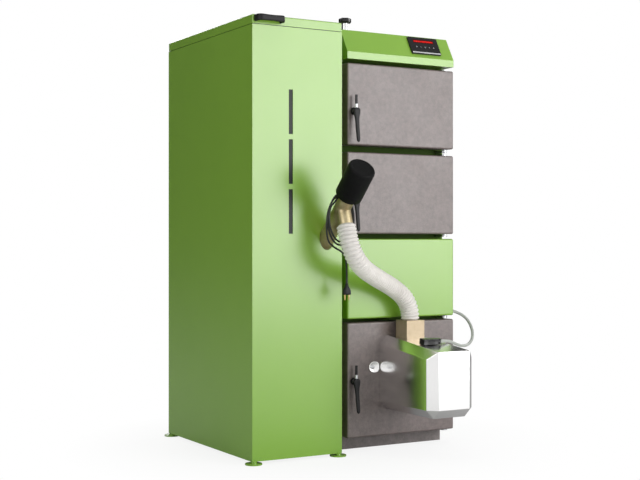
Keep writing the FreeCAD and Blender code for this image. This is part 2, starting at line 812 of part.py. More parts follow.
console_edge = S.console_base + S.console_lip
slope_back = front_plane + S.console_slope_depth
slope_run, slope_rise = float(S.console_slope_depth), float(S.body_height - console_edge)
slope_turn = Rotation(Vector(1, 0, 0), math.degrees(math.atan2(slope_rise, slope_run)))
console = padded("console_fold", "YZ_Plane",
                 [(front_plane, S.console_base), (front_plane, console_edge), (slope_back, S.body_height),
                  (jacket_front, S.body_height), (jacket_front, S.console_base)],
                 S.front_width, -S.front_width / 2)
lean = S.sheet * (math.hypot(slope_run, slope_rise) - slope_run) / slope_rise
console_hollow = padded("console_hollow", "YZ_Plane",
                        [(front_plane + S.sheet, S.console_base + S.sheet),
                         (front_plane + S.sheet, console_edge - lean),
                         (slope_back + lean, S.body_height - S.sheet),
                         (jacket_front + 1, S.body_height - S.sheet),
                         (jacket_front + 1, S.console_base + S.sheet)],
                        S.front_width - 2 * S.sheet, S.sheet - S.front_width / 2)


def on_slope(name, start, size):
    """A block on the console's slope: across, up the slope and out from it."""
    block = doc.addObject("Part::Box", name)
    for side, length in zip(("Length", "Width", "Height"), size):
        bind(block, side, length)
    foot = Vector(float(S.controller_left), float(front_plane), float(console_edge))
    offset = slope_turn.multVec(Vector(*[float(value) for value in start]))
    block.Placement = Placement(foot + offset, slope_turn)
    return block


body_size = (S.controller_width - 2 * S.controller_body_inset, S.controller_length - 2 * S.controller_body_inset)
body_start = (S.controller_body_inset, S.controller_start + S.controller_body_inset)
console_window = on_slope("console_window", (body_start[0] - S.hose_fit, body_start[1] - S.hose_fit, -S.front_reach / 10),
                          (body_size[0] + 2 * S.hose_fit, body_size[1] + 2 * S.hose_fit, S.front_reach / 5))
piece(cut("console", console, console_hollow, console_window), "console_cover")
plate = on_slope("controller_face", (0, S.controller_start, 0),
                 (S.controller_width, S.controller_length, S.controller_plate))
plate = rounded("controller_face_round", plate, S.controller_plate / 3,
                lambda edge: abs(edge.CenterOfMass.x - edge.Vertexes[0].Point.x) < 0.01 and edge.Length < 10)
rear = on_slope("controller_rear", (*body_start, -S.controller_body_depth), (*body_size, S.controller_body_depth + 1))
display_left = (S.controller_width - S.display_width) / 2
display_at = (display_left, S.controller_start + S.display_start, S.controller_plate - S.display_depth)
display_size = (S.display_width, S.display_length, S.display_depth)
display_well = on_slope("display_well", display_at, (S.display_width, S.display_length, S.controller_plate))
BUTTONS = ("menu", "minus", "power", "plus", "enter")
button_wells, button_caps = [], []
for i, name in enumerate(BUTTONS):
    left = S.controller_width / 2 + (i - (len(BUTTONS) - 1) / 2) * S.button_step - S.button_size / 2
    low = S.controller_start + S.button_start
    well_depth = S.button_height + S.button_proud
    button_wells.append(on_slope(f"{name}_well",
                                 (left - S.hose_fit, low - S.hose_fit, S.controller_plate - well_depth),
                                 (S.button_size + 2 * S.hose_fit, S.button_size + 2 * S.hose_fit, S.controller_plate)))
    button_caps.append(on_slope(f"{name}_cap", (left, low, S.controller_plate - S.button_height + S.button_proud),
                                (S.button_size, S.button_size, S.button_height)))
piece(cut("controller", fuse("controller_block", plate, rear), display_well, *button_wells), "controller_housing")
piece(on_slope("display_glass", display_at, display_size), "controller_display")
for name, cap in zip(BUTTONS, button_caps):
    piece(cap, f"{name}_button")

# Bypass damper: bush, sliding rod with its plate, and a lobed knob

bush_top = S.body_height + S.bush_stand
bush_body = fuse("bush_body",
                 rod("bush_pipe", "z", (0, S.damper_y, upper_roof), bush_top - upper_roof,
                     S.bush_width - 2 * S.hose_fit),
                 rod("bush_collar", "z", (0, S.damper_y, S.body_height), S.bush_flange, S.bush_width * 1.6))
rod_way = rod("rod_way", "z", (0, S.damper_y, upper_roof - 1), S.body_height, S.damper_stem + 2 * S.running_fit)
piece(cut("bush", bush_body, rod_way), "damper_bush")
plate_z = shelf_high + S.damper_lift + 1
stem_low = bush_top - 2 * S.bush_stand
rod_set = fuse("rod_set",
               rod("rod_stem", "z", (0, S.damper_y, stem_low), S.damper_top - stem_low, S.damper_stem),
               rod("rod_bar", "z", (0, S.damper_y, plate_z), S.damper_top + S.knob_height / 2 - plate_z,
                   S.damper_rod),
               rod("rod_plate", "z", (0, S.damper_y, plate_z), S.damper_plate_gauge, S.damper_plate))
piece(rod_set, "damper_rod")
knob = rod("knob_blank", "z", (0, S.damper_y, S.damper_top), S.knob_height, S.knob_width)
flutes = []
for i in range(SIZES["knob_lobes"]):
    turn = 2 * math.pi * i / SIZES["knob_lobes"]
    flutes.append(rod("knob_flute_cut", "z",
                      (S.knob_width * 0.56 * math.cos(turn), S.damper_y + S.knob_width * 0.56 * math.sin(turn),
                       S.damper_top - 1), S.knob_height + 2, S.knob_flute * 2))
rod_seat = rod("knob_seat", "z", (0, S.damper_y, S.damper_top - 1), S.knob_height / 2 + 1, S.damper_rod)
piece(cut("knob", knob, *flutes, rod_seat), "damper_knob")

# Hopper cabinet: wrap, front with sight slots, floor and feet

hopper_right = -half_width - S.hopper_gap
hopper_left = hopper_right - S.hopper_width
hopper_y = (-S.hopper_front, S.hopper_depth - S.hopper_front)
hopper_middle = hopper_right - S.hopper_width / 2
wall_xs = (hopper_left + S.sheet, hopper_right - S.sheet)
wall_ys = (hopper_y[0] + S.sheet, hopper_y[1] - S.sheet)
hopper_zs = (S.foot_height, S.hopper_top)
piece(padded("hopper_wrap", "XY_Plane",
             [(hopper_left, wall_ys[0]), (wall_xs[0], wall_ys[0]), (wall_xs[0], wall_ys[1]),
              (wall_xs[1], wall_ys[1]), (wall_xs[1], wall_ys[0]), (hopper_right, wall_ys[0]),
              (hopper_right, hopper_y[1]), (hopper_left, hopper_y[1])],
             hopper_zs[1] - hopper_zs[0], hopper_zs[0]), "hopper_shell")
auger_turn = Rotation(Vector(1, 0, 0), float(S.auger_tilt))
auger_exit = Vector(float(S.auger_x), float(hopper_y[0]), float(S.auger_exit_z))


def on_auger(name, low, high, width):
    """A round bar along the auger's axis, measured up from where it leaves the hopper."""
    bar = doc.addObject("Part::Cylinder", name)
    bind(bar, "Radius", dim(width) / 2)
    bind(bar, "Height", dim(high) - low)
    bar.Placement = Placement(auger_exit + auger_turn.multVec(Vector(0, 0, float(low))), auger_turn)
    return bar


slots, panes, bin_slots = [], [], []
bin_front = wall_ys[0] + S.bin_gap
for i in range(SIZES["slot_count"]):
    slot_zs = (S.slot_low + i * S.slot_step, S.slot_low + i * S.slot_step + S.slot_height)
    slot_xs = about(S.slot_width, S.slot_x)
    slots.append(box("sight_slot", slot_xs, (hopper_y[0] - 1, wall_ys[0] + 1), slot_zs))
    bin_slots.append(box("bin_slot", slot_xs, (bin_front - 1, bin_front + S.bin_wall + 1), slot_zs))
    panes.append(box("sight_pane", about(S.slot_width + 2 * S.slot_lap, S.slot_x), (wall_ys[0], bin_front),
                     (slot_zs[0] - S.slot_lap, slot_zs[1] + S.slot_lap)))
auger_way = on_auger("auger_way", -S.auger_tube, S.auger_tube, S.auger_tube + 2 * S.auger_hole_gap)
front_sheet = padded("hopper_front_sheet", "XZ_Plane", rectangle((hopper_left, hopper_right), hopper_zs),
                     S.sheet, S.hopper_front - S.sheet)
piece(cut("hopper_front", front_sheet, *slots, auger_way), "hopper_front_panel")
piece(group("sight_panes", *panes), "sight_windows")
piece(box("floor_plate", wall_xs, wall_ys, (S.foot_height, S.foot_height + S.base_gauge)), "hopper_base")
feet = []
for foot_x in (hopper_left + S.foot_inset, hopper_right - S.foot_inset):
    for foot_y in (hopper_y[0] + S.foot_inset, hopper_y[1] - S.foot_inset):
        feet.append(fuse("foot", rod("foot_disc", "z", (foot_x, foot_y, 0), S.foot_disc, S.foot_width),
                         rod("foot_stub", "z", (foot_x, foot_y, 0), S.foot_height, S.foot_stub)))
piece(group("feet", *feet), "hopper_feet")

# Pellet bin: straight walls, a tapered bottom and an outlet that sits on the auger tube


bin_xs = (wall_xs[0] + S.bin_gap, wall_xs[1] - S.bin_gap)
bin_ys = (bin_front, wall_ys[1] - S.bin_gap)
bin_zs = (S.bin_taper_top, S.hopper_top - S.bin_wall)


def inset(limits, wall):
    """Two limits, each drawn in by a wall."""
    return (limits[0] + wall, limits[1] - wall)


def funnel(name, wall, over):
    """The bin's tapered bottom with its outlet, or their inside when drawn in by a wall."""
    outlet_xs = about(S.bin_outlet_width - 2 * wall, S.auger_x)
    outlet_ys = (S.bin_outlet_front + wall, S.bin_outlet_front + S.bin_outlet_depth - wall)
    outlet_low = S.auger_exit_z + hopper_y[0] - S.bin_outlet_front - S.bin_outlet_depth
    top = (inset(bin_xs, wall), inset(bin_ys, wall))
    return fuse(name,
                frustum(f"{name}_taper", (outlet_xs, outlet_ys), top, (S.bin_outlet_z, S.bin_taper_top)),
                box(f"{name}_outlet", outlet_xs, outlet_ys, (outlet_low, S.bin_outlet_z)),
                box(f"{name}_brim", *top, (S.bin_taper_top - over, S.bin_taper_top + over)))


below_auger = doc.addObject("Part::Box", "below_auger")
bind(below_auger, "Length", S.hopper_width)
bind(below_auger, "Width", S.hopper_width)
bind(below_auger, "Height", S.hopper_top)
below_auger.Placement = Placement(
    auger_exit + auger_turn.multVec(Vector(-float(S.hopper_width) / 2, -float(S.hopper_width), -float(S.hopper_top))),
    auger_turn)
tube_clear = on_auger("tube_clear", -S.auger_inner_length - S.auger_tube, S.auger_outer_length,
                      S.auger_tube + 2 * S.hose_fit)
bin_funnel = cut("bin_funnel", funnel("funnel_outside", dim(0), dim(0.5)), funnel("funnel_inside", S.bin_wall, dim(1)),
                 box("funnel_top", bin_xs, bin_ys, (S.bin_taper_top, S.hopper_top)), below_auger, tube_clear)
bin_front_wall = cut("bin_front_wall", box("bin_front_sheet", bin_xs, (bin_ys[0], bin_ys[0] + S.bin_wall), bin_zs),
                     *bin_slots, tube_clear)
bin_walls = [bin_front_wall, box("bin_back_wall", bin_xs, (bin_ys[1] - S.bin_wall, bin_ys[1]), bin_zs)]
for name, limits in (("left", (bin_xs[0], bin_xs[0] + S.bin_wall)), ("right", (bin_xs[1] - S.bin_wall, bin_xs[1]))):
    bin_walls.append(box(f"bin_{name}_wall", limits, inset(bin_ys, S.bin_wall), bin_zs))
bin_rim = cut("bin_rim_frame", box("bin_rim_plate", wall_xs, wall_ys, (bin_zs[1], S.hopper_top)),
              box("bin_rim_mouth", inset(bin_xs, S.bin_wall), inset(bin_ys, S.bin_wall), (bin_zs[1] - 1, S.hopper_top + 1)))
piece(group("bin", bin_funnel, *bin_walls, bin_rim), "hopper_bin")

# Hopper lid with its seal, grip and hinges

lid_zs = (S.hopper_top + S.lid_gap, S.hopper_top + S.lid_gap + S.lid_height)
lid_block = rounded("lid_round", box("lid_blank", (hopper_left, hopper_right), hopper_y, lid_zs), S.lid_round,
                    lambda edge: runs_along(edge, Z_AXIS) or edge.CenterOfMass.z > float(lid_zs[1]) - 1)
lid_hollow = box("lid_hollow", (hopper_left + S.lid_skin, hopper_right - S.lid_skin),
                 (hopper_y[0] + S.lid_skin, hopper_y[1] - S.lid_skin), (lid_zs[0] - 1, lid_zs[1] - S.lid_skin))
hinge_line = (hopper_y[1] + S.lid_hinge_back, S.hopper_top + S.lid_hinge_rise)
hinge_spots = (hopper_left + S.lid_hinge_inset, hopper_right - S.lid_hinge_inset)
lid_knuckles, fixed_leaves = [], []
for spot in hinge_spots:
    moving_x = spot
    fixed_x = spot - S.lid_knuckle - S.hose_fit
    pin_hole = rod("lid_pin_hole", "x", (moving_x - 1, *hinge_line), S.lid_knuckle + 2,
                   S.lid_pin + 2 * S.running_fit)
    barrel = fuse("lid_barrel_set",
                  rod("lid_barrel", "x", (moving_x, *hinge_line), S.lid_knuckle, S.lid_barrel),
                  box("lid_web", (moving_x, moving_x + S.lid_knuckle), (hopper_y[1] - S.lid_skin, hinge_line[0]),
                      (hinge_line[1], hinge_line[1] + S.lid_barrel / 2)))
    lid_knuckles.append(cut("lid_eye", barrel, pin_hole))
    fixed_leaves.append(fuse("lid_leaf",
                             rod("fixed_barrel", "x", (fixed_x, *hinge_line), S.lid_knuckle, S.lid_barrel),
                             rod("fixed_pin", "x", (fixed_x, *hinge_line), 2 * S.lid_knuckle, S.lid_pin),
                             box("fixed_web", (fixed_x, fixed_x + S.lid_knuckle),
                                 (hopper_y[1] + S.lid_skin, hinge_line[0]),
                                 (hinge_line[1] - S.lid_knuckle, hinge_line[1])),
                             box("fixed_foot", (fixed_x, fixed_x + S.lid_knuckle), (hopper_y[1], hinge_line[0]),
                                 (hinge_line[1] - S.lid_knuckle, S.hopper_top - S.lid_skin))))
piece(fuse("lid", cut("lid_tray", lid_block, lid_hollow), *lid_knuckles), "hopper_lid")
piece(group("leaves", *fixed_leaves), "lid_hinges")
seal_outer = [(wall_xs[0] + S.bin_gap, wall_xs[1] - S.bin_gap), (wall_ys[0] + S.bin_gap, wall_ys[1] - S.bin_gap)]
seal_inner = [(low + S.seal_width, high - S.seal_width) for low, high in seal_outer]
seal = cut("seal_strip", box("seal_block", *seal_outer, (S.hopper_top + S.hose_fit, lid_zs[1] - S.lid_skin)),
           box("seal_bore", *seal_inner, (S.hopper_top - 1, lid_zs[1])))
piece(seal, "lid_seal")
grip_xs = (hopper_left + S.grip_left, hopper_left + S.grip_left + S.grip_length)
grip_zs = (S.hopper_top + S.grip_rise, S.hopper_top + S.grip_rise + S.grip_height)
grip_front = hopper_y[0] - S.grip_stand
grip_block = rounded("grip_round_block", box("grip_block", grip_xs, (grip_front, hopper_y[0]), grip_zs), S.grip_round,
                     lambda edge: runs_along(edge, Z_AXIS) and edge.CenterOfMass.y < float(grip_front) + 1
                     or runs_along(edge, X_AXIS) and edge.CenterOfMass.y < float(grip_front) + 1)
finger_gap = box("finger_gap", (grip_xs[0] + S.grip_post, grip_xs[1] - S.grip_post),
                 (grip_front + S.grip_bar, hopper_y[0] + 1), (grip_zs[0] - 1, grip_zs[1] + 1))
piece(cut("grip", grip_block, finger_gap), "lid_handle")

# Auger tube with its inlet, gear motor, spout and screw


def slanted(start, turn_degrees, low, high, width):
    """A round bar in the auger's plane, tipped forward from straight down."""
    tip = math.radians(turn_degrees)
    way = Vector(0, -math.sin(tip), -math.cos(tip))
    return Part.makeCylinder(width / 2, high - low, start + way * low, way)


tube_low, tube_high = -S.auger_inner_length, S.auger_outer_length
spout_root = auger_exit + auger_turn.multVec(Vector(0, 0, float(S.spout_station)))
spout_bore = float(S.spout_width - 2 * S.spout_wall)
spout_hole = feature("spout_hole", slanted(spout_root, float(S.spout_tilt), 0, float(S.spout_reach), spout_bore))
inlet = box("auger_inlet", about(S.bin_outlet_width - 2 * S.bin_wall, S.auger_x),
            (S.bin_outlet_front + S.bin_wall, S.bin_outlet_front + S.bin_outlet_depth - S.bin_wall),
            (S.auger_exit_z + hopper_y[0] - S.bin_outlet_front - S.bin_outlet_depth / 2, S.bin_outlet_z))
tube_body = on_auger("tube_body", tube_low, tube_high, S.auger_tube)
tube_bore = on_auger("tube_bore", tube_low + S.auger_wall, tube_high + 1, S.auger_tube - 2 * S.auger_wall)
bearing_way = on_auger("bearing_way", tube_low - 1, tube_low + S.auger_wall + 1, S.screw_shaft + 2 * S.running_fit)
tube_shell = cut("tube", tube_body, tube_bore, bearing_way, inlet, spout_hole)
spout_end = float(S.spout_reach + S.spout_insert)
spout = slanted(spout_root, float(S.spout_tilt), 0, spout_end, float(S.spout_width))
spout = spout.cut(slanted(spout_root, float(S.spout_tilt), -1, spout_end + 1, spout_bore))
spout = spout.cut(Part.makeCylinder(float(S.auger_tube) / 2 - float(S.auger_wall) / 2, 2 * float(S.auger_tube),
                                    spout_root - auger_turn.multVec(Vector(0, 0, float(S.auger_tube))),
                                    auger_turn.multVec(Z_AXIS)))
piece(fuse("tube_weldment", tube_shell, feature("spout", spout)), "auger_tube")
motor_top = tube_high + S.motor_foot + S.motor_length
cap = rounded("motor_cap", on_auger("motor_can", tube_high + S.motor_foot, motor_top, S.motor_width), S.motor_round,
              lambda edge: auger_turn.inverted().multVec(edge.CenterOfMass - auger_exit).z > float(motor_top) - 1)
motor_base = on_auger("motor_base", tube_high, tube_high + S.motor_foot + 1, S.motor_foot_width)
drive_way = on_auger("drive_way", tube_high - 1, tube_high + S.motor_length / 2, S.screw_shaft + 2 * S.running_fit)
gland_foot = auger_exit + auger_turn.multVec(Vector(-float(S.motor_foot_width) / 2, 0,
                                                    float(tube_high + S.motor_foot)))
lead_way = auger_turn.multVec(Vector(0, 0, -1))
lead_boss = feature("lead_boss", Part.makeCylinder(float(S.motor_gland) / 2, float(S.motor_gland_length),
                                                   gland_foot, lead_way))
piece(cut("motor", fuse("motor_block", cap, motor_base, lead_boss), drive_way), "auger_motor")
screw_low, screw_high = float(tube_low), float(tube_high + S.motor_length / 2 - 5)
flight_low, flight_high = screw_low + float(S.screw_start), float(S.spout_station + S.spout_width / 2)


def screw_flight():
    """A screw blade: a slim section carried along a helix about Z."""
    helix = Part.makeHelix(float(S.screw_pitch), flight_high - flight_low, float(S.screw_shaft) / 2)
    inner, outer = float(S.screw_shaft) / 2 - 1, float(S.screw_width) / 2
    half = float(S.screw_gauge) / 2
    corners = [Vector(inner, 0, -half), Vector(outer, 0, -half), Vector(outer, 0, half), Vector(inner, 0, half)]
    section = Part.makePolygon(corners + corners[:1])
    return Part.Wire([helix]).makePipeShell([section], True, True)


flight = screw_flight()
flight.translate(Vector(0, 0, flight_low))
shaft = Part.makeCylinder(float(S.screw_shaft) / 2, screw_high - screw_low, Vector(0, 0, screw_low))
piece(feature("screw", shaft.fuse(flight), Placement(auger_exit, auger_turn)), "auger_screw")

# Cord routes: straight runs joined by arcs as large as the runs allow


def rounded_route(name, points):
    """The edges of a route, with the least bend radius printed."""
    share = 0.45
    corners = [Vector(*point) for point in points]
    edges, radii, start = [], [], corners[0]
    for before, here, after in zip(corners, corners[1:], corners[2:]):
        way_in, way_out = (here - before).normalize(), (after - here).normalize()
        turn = way_in.getAngle(way_out)
        reach = share * min((here - before).Length, (after - here).Length)
        radius = reach / math.tan(turn / 2)
        arc_in, arc_out = here - way_in * reach, here + way_out * reach
        bulge = (way_out - way_in).normalize() * (radius / math.cos(turn / 2) - radius)
        edges.append(Part.LineSegment(start, arc_in).toShape())
        edges.append(Part.Arc(arc_in, here + bulge, arc_out).toShape())
        radii.append(radius)
        start = arc_out
    edges.append(Part.LineSegment(start, corners[-1]).toShape())
    print(f"{name}: length {sum(edge.Length for edge in edges):.0f}, least bend radius {min(radii):.1f}")
    return edges


def between(first, last, shares):
    """Points whose place along each axis is a share of the way from one end to the other."""
    return [tuple(a + (b - a) * share for a, b, share in zip(first, last, triple)) for triple in shares]


def cord_tube(name, points, width):
    """A round cord along a route, its volume checked against section times length."""
    edges = rounded_route(name, points)
    ring = Part.Wire([Part.Circle(edges[0].Vertexes[0].Point, edges[0].tangentAt(0), width / 2).toShape()])
    tube = Part.Wire(edges).makePipeShell([ring], True, False)
    expected = math.pi * width ** 2 / 4 * sum(edge.Length for edge in edges)
    print(f"{name}: volume {tube.Volume / expected:.4f} of section times length")
    return tube


# Ribbed feed hose from the spout to the burner's chute

spout_way = Vector(0, -math.sin(math.radians(float(S.spout_tilt))), -math.cos(math.radians(float(S.spout_tilt))))
hose_top = spout_root + spout_way * float(S.spout_reach)
chute_base = S.neck_top
chute_top = chute_base + S.chute_height
hose_foot = Vector(0, float(S.chute_y), float(chute_top + S.hose_fit))
hose_neck = hose_top + spout_way * float(S.hose_crest) * 1.15
HOSE_SHARES = ((0.127, 0.024, 0.248), (0.428, 0.543, 0.398), (0.759, 0.953, 0.548), (0.934, 1, 0.699), (1, 1, 0.88))
HOSE_ROUTE = [tuple(hose_top), tuple(hose_neck), *between(hose_neck, hose_foot, HOSE_SHARES), tuple(hose_foot)]


def along(edges, distance):
    """The point and direction at a distance along joined edges."""
    for edge in edges:
        if distance <= edge.Length or edge is edges[-1]:
            place = edge.getParameterByLength(min(distance, edge.Length))
            return edge.valueAt(place), edge.tangentAt(place)
        distance -= edge.Length


def section_ring(edges, distance, width):
    """A circle square to a route, with its seam kept on the X side."""
    centre, way = along(edges, distance)
    across = X_AXIS - way * way.dot(X_AXIS)
    if across.Length < 0.05:
        across = Z_AXIS - way * way.dot(Z_AXIS)
    circle = Part.Circle(centre, way, width / 2)
    circle.XAxis = across
    return Part.Wire([circle.toShape()])


def ribbed_hose(edges):
    """Ribs of four circles each, lofted straight from one to the next, round a plain bore."""
    crest, root = float(S.hose_crest), float(S.hose_root)
    cuff, ribs = float(S.hose_cuff), SIZES["hose_ribs"]
    length = sum(edge.Length for edge in edges)
    pitch = (length - 2 * cuff) / ribs
    stations = [(0, root)]
    for i in range(ribs):
        start = cuff + i * pitch
        stations += [(start + pitch * 0.1, root), (start + pitch * 0.3, crest), (start + pitch * 0.7, crest),
                     (start + pitch * 0.9, root)]
    stations.append((length, root))
    outside = Part.makeLoft([section_ring(edges, *station) for station in stations], True, True)
    bore = float(S.spout_width + 2 * S.hose_fit)
    core_ring = section_ring(edges, 0, bore)
    inside = Part.Wire(edges).makePipeShell([core_ring], True, False)
    return outside.cut(inside)


hose_edges = rounded_route("feed_hose", HOSE_ROUTE)
piece(feature("hose", ribbed_hose(hose_edges)), "feed_hose")

# Burner: neck on the lower door, flame tube, fan, faceted cover, chute and plug


cover_back = front_plane - S.hose_fit
hood_rise = float(S.burner_slope_rise) / float(S.burner_front + cover_back)


def hood_sections(inset):
    """Corner points of the cover's front, middle and back sections, drawn in by an inset."""
    chamfer = float(S.burner_chamfer)
    front_y, back_y = -float(S.burner_front) + inset, float(cover_back) + (1 if inset else 0)
    low = float(S.burner_base) + inset
    wide = float(S.burner_width) / 2 - inset
    slim = wide - chamfer
    rings = []
    for y in (front_y + chamfer, back_y):
        top = float(S.burner_front_top) + hood_rise * (y + float(S.burner_front)) - inset
        half = [(slim, top), (wide, top - chamfer), (wide, low + chamfer), (slim, low)]
        rings.append([Vector(float(S.burner_x) + x, y, z) for x, z in half]
                     + [Vector(float(S.burner_x) - x, y, z) for x, z in reversed(half)])
    top = float(S.burner_front_top) + hood_rise * inset - inset
    front = [Vector(float(S.burner_x) + x, front_y, z)
             for x, z in ((slim, top), (slim, low + chamfer), (-slim, low + chamfer), (-slim, top))]
    return front, *rings


def hood_solid(inset):
    """The faceted block of the burner's cover."""
    front, mid, back = hood_sections(inset)
    outlines = [front, back,
                [front[3], front[0], mid[0], mid[7]], [front[0], front[1], mid[2], mid[1]],
                [front[1], front[2], mid[4], mid[3]], [front[2], front[3], mid[6], mid[5]],
                [front[0], mid[1], mid[0]], [front[1], mid[3], mid[2]],
                [front[2], mid[5], mid[4]], [front[3], mid[7], mid[6]]]
    outlines += [[mid[i], mid[(i + 1) % 8], back[(i + 1) % 8], back[i]] for i in range(8)]
    faces = [Part.Face(Part.makePolygon(outline + outline[:1])) for outline in outlines]
    return Part.makeSolid(Part.makeShell(faces))


neck_xs = about(S.neck_width, S.burner_x)
neck_y = -S.neck_front
flange_back = front_plane
flange = box("neck_flange", about(S.flange_width, S.burner_x), (flange_back - S.flange_gauge, flange_back),
             (S.neck_base, S.neck_top - S.chute_wall))
duct = box("neck_duct", neck_xs, (neck_y, flange_back), (S.neck_base, S.neck_top))
fan_motor = rod("fan_motor", "y", (S.burner_x, neck_y - S.fan_motor_depth, S.fan_z), S.fan_motor_depth + 1,
                S.fan_motor_width)
fan_front = neck_y - S.fan_motor_depth - S.fan_gap - S.fan_depth
fan_spindle = rod("fan_spindle", "y", (S.burner_x, fan_front, S.fan_z), S.fan_depth + S.fan_gap + 1, S.fan_shaft)
drop_way = rod("drop_way", "z", (0, S.chute_y, S.burner_tube_z), S.neck_top, S.drop_bore)
flame_way = rod("flame_way", "y", (S.burner_x, S.chute_y - S.drop_bore / 2, S.burner_tube_z),
                S.front_reach, S.burner_tube_width - 2 * S.burner_tube_wall)
piece(cut("neck", fuse("neck_body", flange, duct, fan_motor, fan_spindle), drop_way, flame_way),
      "burner_neck")
tube_length = S.front_reach - S.burner_tube_end
piece(cut("flame_tube", rod("flame_outer", "y", (S.burner_x, front_plane, S.burner_tube_z), tube_length,
                            S.burner_tube_width),
          rod("flame_bore", "y", (S.burner_x, front_plane - 1, S.burner_tube_z), tube_length + 2,
              S.burner_tube_width - 2 * S.burner_tube_wall)), "burner_tube")
fan_parts = [rod("fan_plate_disc", "y", (S.burner_x, fan_front + S.fan_depth - S.fan_plate, S.fan_z), S.fan_plate,
                 S.fan_width),
             rod("fan_hub_boss", "y", (S.burner_x, fan_front, S.fan_z), S.fan_depth, S.fan_hub)]
for i in range(SIZES["fan_blades"]):
    blade = Part.makeBox(float(S.fan_width) / 2 - float(S.fan_hub) / 3, float(S.fan_depth), float(S.fan_blade_gauge),
                         Vector(float(S.fan_hub) / 3, 0, -float(S.fan_blade_gauge) / 2))
    turn = Rotation(Vector(0, 1, 0), 360 * i / SIZES["fan_blades"])
    fan_parts.append(feature("fan_blade", blade,
                             Placement(Vector(float(S.burner_x), float(fan_front), float(S.fan_z)), turn)))
spindle_way = rod("spindle_way", "y", (S.burner_x, fan_front - 1, S.fan_z), S.fan_depth + 2,
                  S.fan_shaft + 2 * S.running_fit)
piece(cut("fan", fuse("fan_wheel", *fan_parts), spindle_way), "burner_fan")

hood_outside = feature("hood_outside", hood_solid(0))
hood_inside = feature("hood_inside", hood_solid(float(S.burner_wall)))
chute_xs, chute_ys = about(S.chute_width), about(S.chute_depth, S.chute_y)
chute_way = box("chute_way", about(S.chute_width + 2 * S.hose_fit), about(S.chute_depth + 2 * S.hose_fit, S.chute_y),
                (chute_base - 1, chute_top))
piece(cut("hood_shell", hood_outside, hood_inside, chute_way), "burner_cover")
chute_block = box("chute_block", chute_xs, chute_ys, (chute_base, chute_top))
chute_room = box("chute_room", about(S.chute_width - 2 * S.chute_wall),
                 about(S.chute_depth - 2 * S.chute_wall, S.chute_y), (chute_base - 1, chute_top - S.chute_wall))
spigot = rod("chute_spigot", "z", (0, S.chute_y, chute_top - S.chute_wall), S.spout_insert + S.chute_wall,
             S.spout_width)
spigot_bore = rod("chute_bore", "z", (0, S.chute_y, chute_top - 2 * S.chute_wall), S.chute_height, spout_bore)
piece(cut("chute", fuse("chute_body", chute_block, spigot), chute_room, spigot_bore), "fuel_chute")
hood_lean = math.degrees(math.atan(hood_rise))
connector_turn = Rotation(Vector(1, 0, 0), hood_lean)
connector_z = float(S.burner_front_top) + (float(S.connector_y) + float(S.burner_front)) * math.tan(
    math.radians(hood_lean))
connector_foot = Vector(float(S.connector_left), float(S.connector_y), connector_z)


def on_hood(name, start, size):
    """A block on the cover's sloped top: across, back along the slope and up from it."""
    block = doc.addObject("Part::Box", name)
    for side, length in zip(("Length", "Width", "Height"), size):
        bind(block, side, length)
    offset = connector_turn.multVec(Vector(*[float(value) for value in start]))
    block.Placement = Placement(connector_foot + offset, connector_turn)
    return block


connector_body = on_hood("connector_body", (0, -S.connector_depth / 2, S.hose_fit),
                         (S.connector_length, S.connector_depth, S.connector_height))
connector_body = rounded("connector_round", connector_body, S.connector_prong_gauge / 2,
                         lambda edge: runs_along(edge, X_AXIS))
prong_size = (S.connector_prong + 2, S.connector_depth * 0.6, S.connector_prong_gauge)
prong_rows = (S.connector_prong_gauge / 2, S.connector_height - S.connector_prong_gauge * 1.5)
prongs = [on_hood("connector_prong_bar", (S.connector_length - 2, -S.connector_depth * 0.3, row + S.hose_fit), prong_size)
          for row in prong_rows]
piece(fuse("connector", connector_body, *prongs), "burner_connector")

# Peephole cover on the lower door: an oval plate on a stud

oval_left = S.peephole_x - S.peephole_height / 2 + S.hinge_arm_gap * 2
oval_right = oval_left + S.peephole_length
oval_y = front_plane - S.peephole_gap - S.peephole_gauge
oval_ends = (oval_left + S.peephole_height / 2, oval_right - S.peephole_height / 2)
oval_parts = [rod("oval_end", "y", (end, oval_y, S.peephole_z), S.peephole_gauge, S.peephole_height)
              for end in oval_ends]
oval_parts.append(box("oval_middle", oval_ends, (oval_y, oval_y + S.peephole_gauge),
                      about(S.peephole_height, S.peephole_z)))
oval_parts.append(rod("oval_stud", "y", (S.peephole_x, oval_y - S.peephole_gauge, S.peephole_z),
                      S.door_depth / 2, S.peephole_stud))
piece(fuse("oval", *oval_parts), "peephole_cover")

# Burner cable from its gland on the fixed cover to the burner's plug

gland_x = S.front_width / 2
piece(rod("gland", "x", (gland_x, S.gland_y, S.gland_z), S.gland_length, S.gland_width), "cable_gland")
cable_start = Vector(float(gland_x + S.gland_length + S.hose_fit), float(S.gland_y), float(S.gland_z))
plug_face = connector_foot + connector_turn.multVec(
    Vector(float(S.connector_length + S.hose_fit), 0, float(S.connector_height) / 2 + float(S.hose_fit)))
straight = X_AXIS * float(S.cord_straight)
CABLE_SHARES = ((-0.264, 0.06, 0.27), (-0.297, 0.18, 0.733), (-0.205, 0.312, 1.135), (-0.004, 0.464, 1.371),
                (0.238, 0.608, 1.371), (0.469, 0.744, 1.217), (0.674, 0.87, 1.06))
CABLE_ROUTE = [tuple(cable_start), tuple(cable_start + straight), *between(cable_start, plug_face, CABLE_SHARES),
               tuple(plug_face + straight * 2), tuple(plug_face)]
piece(feature("cable", cord_tube("burner_cable", CABLE_ROUTE, float(S.cable_width))), "burner_cable")

# Motor lead: loops hung round the auger tube, then a tail to its plug


